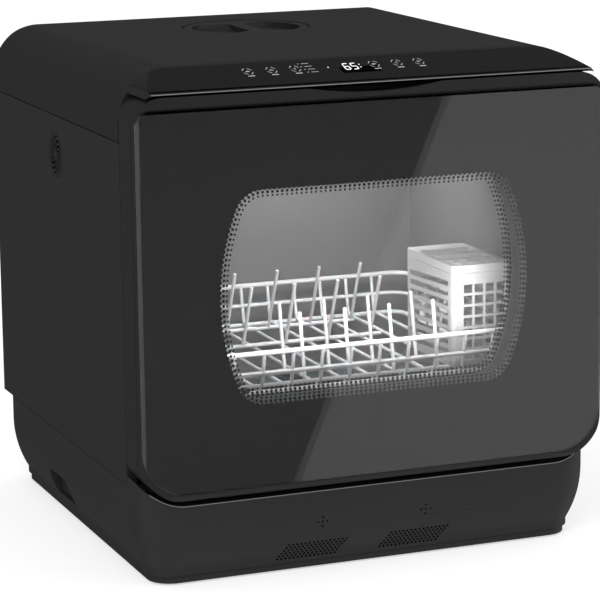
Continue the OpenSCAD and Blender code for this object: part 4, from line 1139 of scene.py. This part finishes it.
@dataclass
class Door:
    """The drop-down door: frame, cap, two panes, printed border and dots."""

    shop: Workshop
    window: Window = field(default_factory=Window)
    front_y: float = -213.0
    glass_t: float = 4.0
    pane_y: float = -179.0
    dot_pitch: float = 4.3
    dot_rows: tuple[Pair, ...] = ((0.3, 3.3), (-2.7, 2.8), (-5.7, 2.0))
    # The prints lie on the back of the outer pane, and behind the inner one.
    print_gap: float = 0.03
    dot_gap: float = 0.06
    inner_dots: float = 3.1
    # The border print is the pane's own shape, drawn in a little and pressed flat.
    print_scale: float = 0.9985
    print_flat: float = 0.01
    edge_tilt: float = 0.3

    def ring_of_dots(self, y: float, name: str) -> None:
        """Prints rows of dots round the window, in rows that shrink inwards.

        Args:
            y: Where the print lies, in millimetres.
            name: Name of the piece.
        """
        dots: list[Object] = []
        for grow, size in self.dot_rows:
            points = self.window.outline(grow, self.dot_pitch)
            dots += front_discs(size / 2, ((x, y, z) for x, z, _, _ in points))
        self.shop.add(join(dots, name), "door_glass", BLACK_ENAMEL)

    def shade_pane_edges(self, pane: Object) -> None:
        """Paints shade on the narrow faces round a pane in the black enamel, which else carry light
        from the studio.
        """
        pane.data.materials.append(self.shop.material(BLACK_ENAMEL))
        for face in pane.data.polygons:
            if abs(face.normal.y) < self.edge_tilt:
                face.material_index = 1

    def printed_border(self) -> None:
        """The black enamel behind the outer pane, with the window left clear."""
        y = self.front_y + self.glass_t + self.print_gap
        sheet = merged_copy("door_glass", "border_print")
        low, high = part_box("door_glass")
        centre = (low + high) / 2
        sheet.data.transform(Matrix.Translation(-centre))
        sheet.data.transform(Matrix.Diagonal(
            (self.print_scale, self.print_flat, self.print_scale, 1.0)))
        sheet.data.transform(Matrix.Translation((centre.x, y * MM, centre.z)))
        points = self.window.outline(0.0, 2.0)
        cutter = flat_outline([(x, z) for x, z, _, _ in points], "window_cutter")
        cutter.data.transform(Matrix.Rotation(math.radians(90), 4, "X"))
        apply_modifier(cutter, "SOLIDIFY", thickness=40 * MM, offset=0.0)
        cutter.data.transform(Matrix.Translation((0, y * MM, 0)))
        apply_modifier(sheet, "BOOLEAN", operation="DIFFERENCE", object=cutter, solver="EXACT")
        bpy.data.objects.remove(cutter)
        self.shop.add(sheet, "door_glass", BLACK_ENAMEL)

    def build(self) -> None:
        """Builds the door."""
        shop = self.shop
        shop.rework("door_frame", "door_shell", DOOR_PLASTIC, 0.4)
        shop.rework("door_cap", "door_rail", DOOR_PLASTIC, 0.4)
        self.shade_pane_edges(shop.rework("door_glass", "front_pane", OUTER_GLASS, 0.5))
        self.printed_border()
        self.ring_of_dots(self.front_y + self.glass_t + self.dot_gap, "border_dots")
        shop.rework("inner_glass", "inner_pane", INNER_GLASS, 0.3)
        self.ring_of_dots(self.pane_y + self.inner_dots, "inner_border_dots")
        shop.rework("door_liner", "liner_panel", LINER_PLASTIC, 0.3)
        shop.rework("window_tunnel", "liner_tunnel", LINER_PLASTIC, 0.3)
        shop.keep(TRIM_STEEL, "hinge_pins", "hinge_brackets")
        shop.keep(GREY_PLASTIC, "latch_hook", "latch_lock")
        shop.rework("detergent_cup", "detergent_tray", GREY_PLASTIC, 0.3)
        shop.rework("detergent_lid", "detergent_slide", GREY_PLASTIC, 0.2)


# ---------------------------------------------------------------- inside the tub


@dataclass
class WashRoom:
    """Steel tub, filter, spray arm and what stands on the tub's floor."""

    shop: Workshop

    def build(self) -> None:
        """Builds the tub's pieces."""
        shop = self.shop
        shop.rework("tub", "wash_tub", TUB_STEEL, 0.5)
        shop.rework("tub_frame", "tub_rim", TUB_STEEL, 0.3)
        shop.keep(SOFT_RUBBER, "tub_seal")
        shop.rework("rack_rails", "tub_rails", LINER_PLASTIC, 0.3)
        shop.rework("filter_plate", "filter_disc", TUB_STEEL, 0.0)
        shop.rework("filter_cup", "filter_basket", GREY_PLASTIC, 0.0)
        shop.keep(GREY_PLASTIC, "sump")
        shop.rework("heater", "heater_loop", TRIM_STEEL, 0.0)
        shop.rework("spray_arm", "spray_bar", GREY_PLASTIC, 0.6)
        shop.rework("spray_post", "spray_bearing", GREY_PLASTIC, 0.4)
        shop.rework("float_cap", "float_bell", LINER_PLASTIC, 0.3)
        shop.rework("tub_lamp", "lamp_lens", LAMP_PLASTIC, 0.4)


@dataclass(frozen=True)
class TineRow:
    """One row of tines: where it stands, its first tine, how many there are and their lean."""

    y: float
    first: float
    count: int
    lean: float


@dataclass
class DishRack:
    """The wire rack, bent from white coated wire."""

    shop: Workshop
    half_w: float = 170.0
    front_y: float = -153.2
    back_y: float = 121.8
    floor_z: float = 148.0
    rim_h: float = 36.5
    middle_h: float = 18.0
    inset: float = 8.0
    rim_r: float = 2.2
    wire_r: float = 1.6
    tine_len: float = 64.0
    pitch: float = 42.0
    wire_step: int = 27
    shoe_x: float = 174.0
    row_end: float = 97.0
    uprights: int = 5
    upright_y: float = 38.0
    upright_pitch: float = 45.0
    cross_lift: float = 4.8
    shoe_lift: float = 3.4
    shoe_size: Point = (9.2, 22.0, 5.6)
    shoe_from_front: float = 51.0
    shoe_from_back: float = 49.0
    rows: tuple[TineRow, ...] = (
        TineRow(-140.2, -39, 4, 11), TineRow(-100.2, -42, 4, 12),
        TineRow(9.8, -124, 6, -25), TineRow(74.8, -116, 6, -25))

    def loop(self, grow: float, z: float, radius: float) -> Object:
        """One closed wire round the rack, drawn in by grow."""
        w, y0, y1 = self.half_w - grow, self.front_y + grow, self.back_y - grow
        return bent_wire([(-w, y0, z), (w, y0, z), (w, y1, z), (-w, y1, z)],
                         radius, 16, closed=True)

    def cage(self) -> list[Object]:
        """The loops, the floor wires that bend up into both ends, and the side uprights."""
        rim_z = self.floor_z + self.rim_h
        low_half = self.half_w - self.inset
        wires = [self.loop(0, rim_z, self.rim_r), self.loop(self.inset, self.floor_z, self.rim_r),
                 self.loop(self.inset * (1 - self.middle_h / self.rim_h),
                           self.floor_z + self.middle_h, self.wire_r + 0.2)]
        y0, y1 = self.front_y + self.inset, self.back_y - self.inset
        one = bent_wire([(0, self.front_y, rim_z), (0, y0, self.floor_z + 1),
                         (0, y1, self.floor_z + 1), (0, self.back_y, rim_z)], self.wire_r, 5)
        half = 5 * self.wire_step
        wires += repeated(one, [(x, 0, 0) for x in range(-half, half + 1, self.wire_step)])
        for side in (-1, 1):
            one = bent_wire([(side * self.half_w, 0, rim_z),
                             (side * low_half, 0, self.floor_z)], self.wire_r)
            first = self.front_y + self.upright_y
            wires += repeated(one, [(0, first + self.upright_pitch * i, 0)
                                    for i in range(self.uprights)])
        return wires

    def tines(self) -> list[Object]:
        """The rows of tines with the cross wires that they stand on."""
        wires = []
        z = self.floor_z + self.cross_lift
        for row in self.rows:
            wires.append(bent_wire([(-self.half_w + self.inset + 6, row.y, z),
                                    (self.row_end, row.y, z)], self.wire_r + 0.3))
            one = bent_wire([(0, row.y, z), (0, row.y + row.lean, self.floor_z + self.tine_len)],
                            self.wire_r)
            wires += repeated(one, [(row.first + i * self.pitch, 0, 0)
                                    for i in range(row.count)])
        return wires

    def shoes(self) -> list[Object]:
        """The slide shoes at both sides, each on its short wire."""
        made = []
        shoe_z = self.floor_z + self.shoe_lift
        for side in (-1, 1):
            for y in (self.front_y + self.shoe_from_front, self.back_y - self.shoe_from_back):
                bpy.ops.object.select_all(action="DESELECT")
                bpy.ops.mesh.primitive_cube_add(
                    size=MM, location=vec((side * self.shoe_x, y, shoe_z)),
                    scale=self.shoe_size)
                made.append(soften(finished(bpy.context.active_object, "shoe"), 1.0, 3))
                made.append(bent_wire(
                    [(side * (self.half_w - self.inset), y, self.floor_z + 0.4),
                     (side * self.shoe_x, y, shoe_z)], 2.0))
        return made

    def build(self) -> None:
        """Builds the rack."""
        rack = join(self.cage() + self.tines() + self.shoes(), "wire_rack")
        self.shop.add(rack, "dish_rack", WIRE_COAT)
        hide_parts("dish_rack", "rack_rim", "rack_tines")


@dataclass
class CutleryBasket:
    """The white lattice basket that hangs in the rack."""

    shop: Workshop

    def build(self) -> None:
        """Builds the basket."""
        # A pierced wall stands neither joined faces nor a bevel.
        self.shop.rework("cutlery_basket", "cutlery_holder", BASKET_PLASTIC, 0.0)
        self.shop.rework("basket_grid", "cutlery_grid", BASKET_PLASTIC, 0.0)


@dataclass
class Services:
    """Pumps, hoses and rear connections."""

    shop: Workshop

    def build(self) -> None:
        """Dresses the service parts."""
        shop = self.shop
        shop.keep(PUMP_PLASTIC, "wash_pump")
        shop.keep(BLUE_PLASTIC, "drain_pump")
        shop.keep(SOFT_RUBBER, "pump_hose", "drain_hose")
        shop.rework("water_inlet", "inlet_thread", TRIM_STEEL, 0.5)
        shop.rework("drain_spigot", "drain_nozzle", DARK_PLASTIC, 0.4)
        shop.rework("cord_gland", "cable_gland", SOFT_RUBBER, 0.4)


def main() -> None:
    """Builds the whole scene in order."""
    logging.basicConfig(level=logging.INFO, format="%(name)s: %(message)s")
    bpy.context.scene.view_settings.view_transform = "Standard"
    camera = ProductCamera()
    camera.build()
    Studio(camera).build()
    shop = Workshop()
    for part in (Casing, ControlStrip, FillPort, SideVent, Door, WashRoom, DishRack,
                 CutleryBasket, Services):
        part(shop).build()


if __name__ == "__main__":
    main()
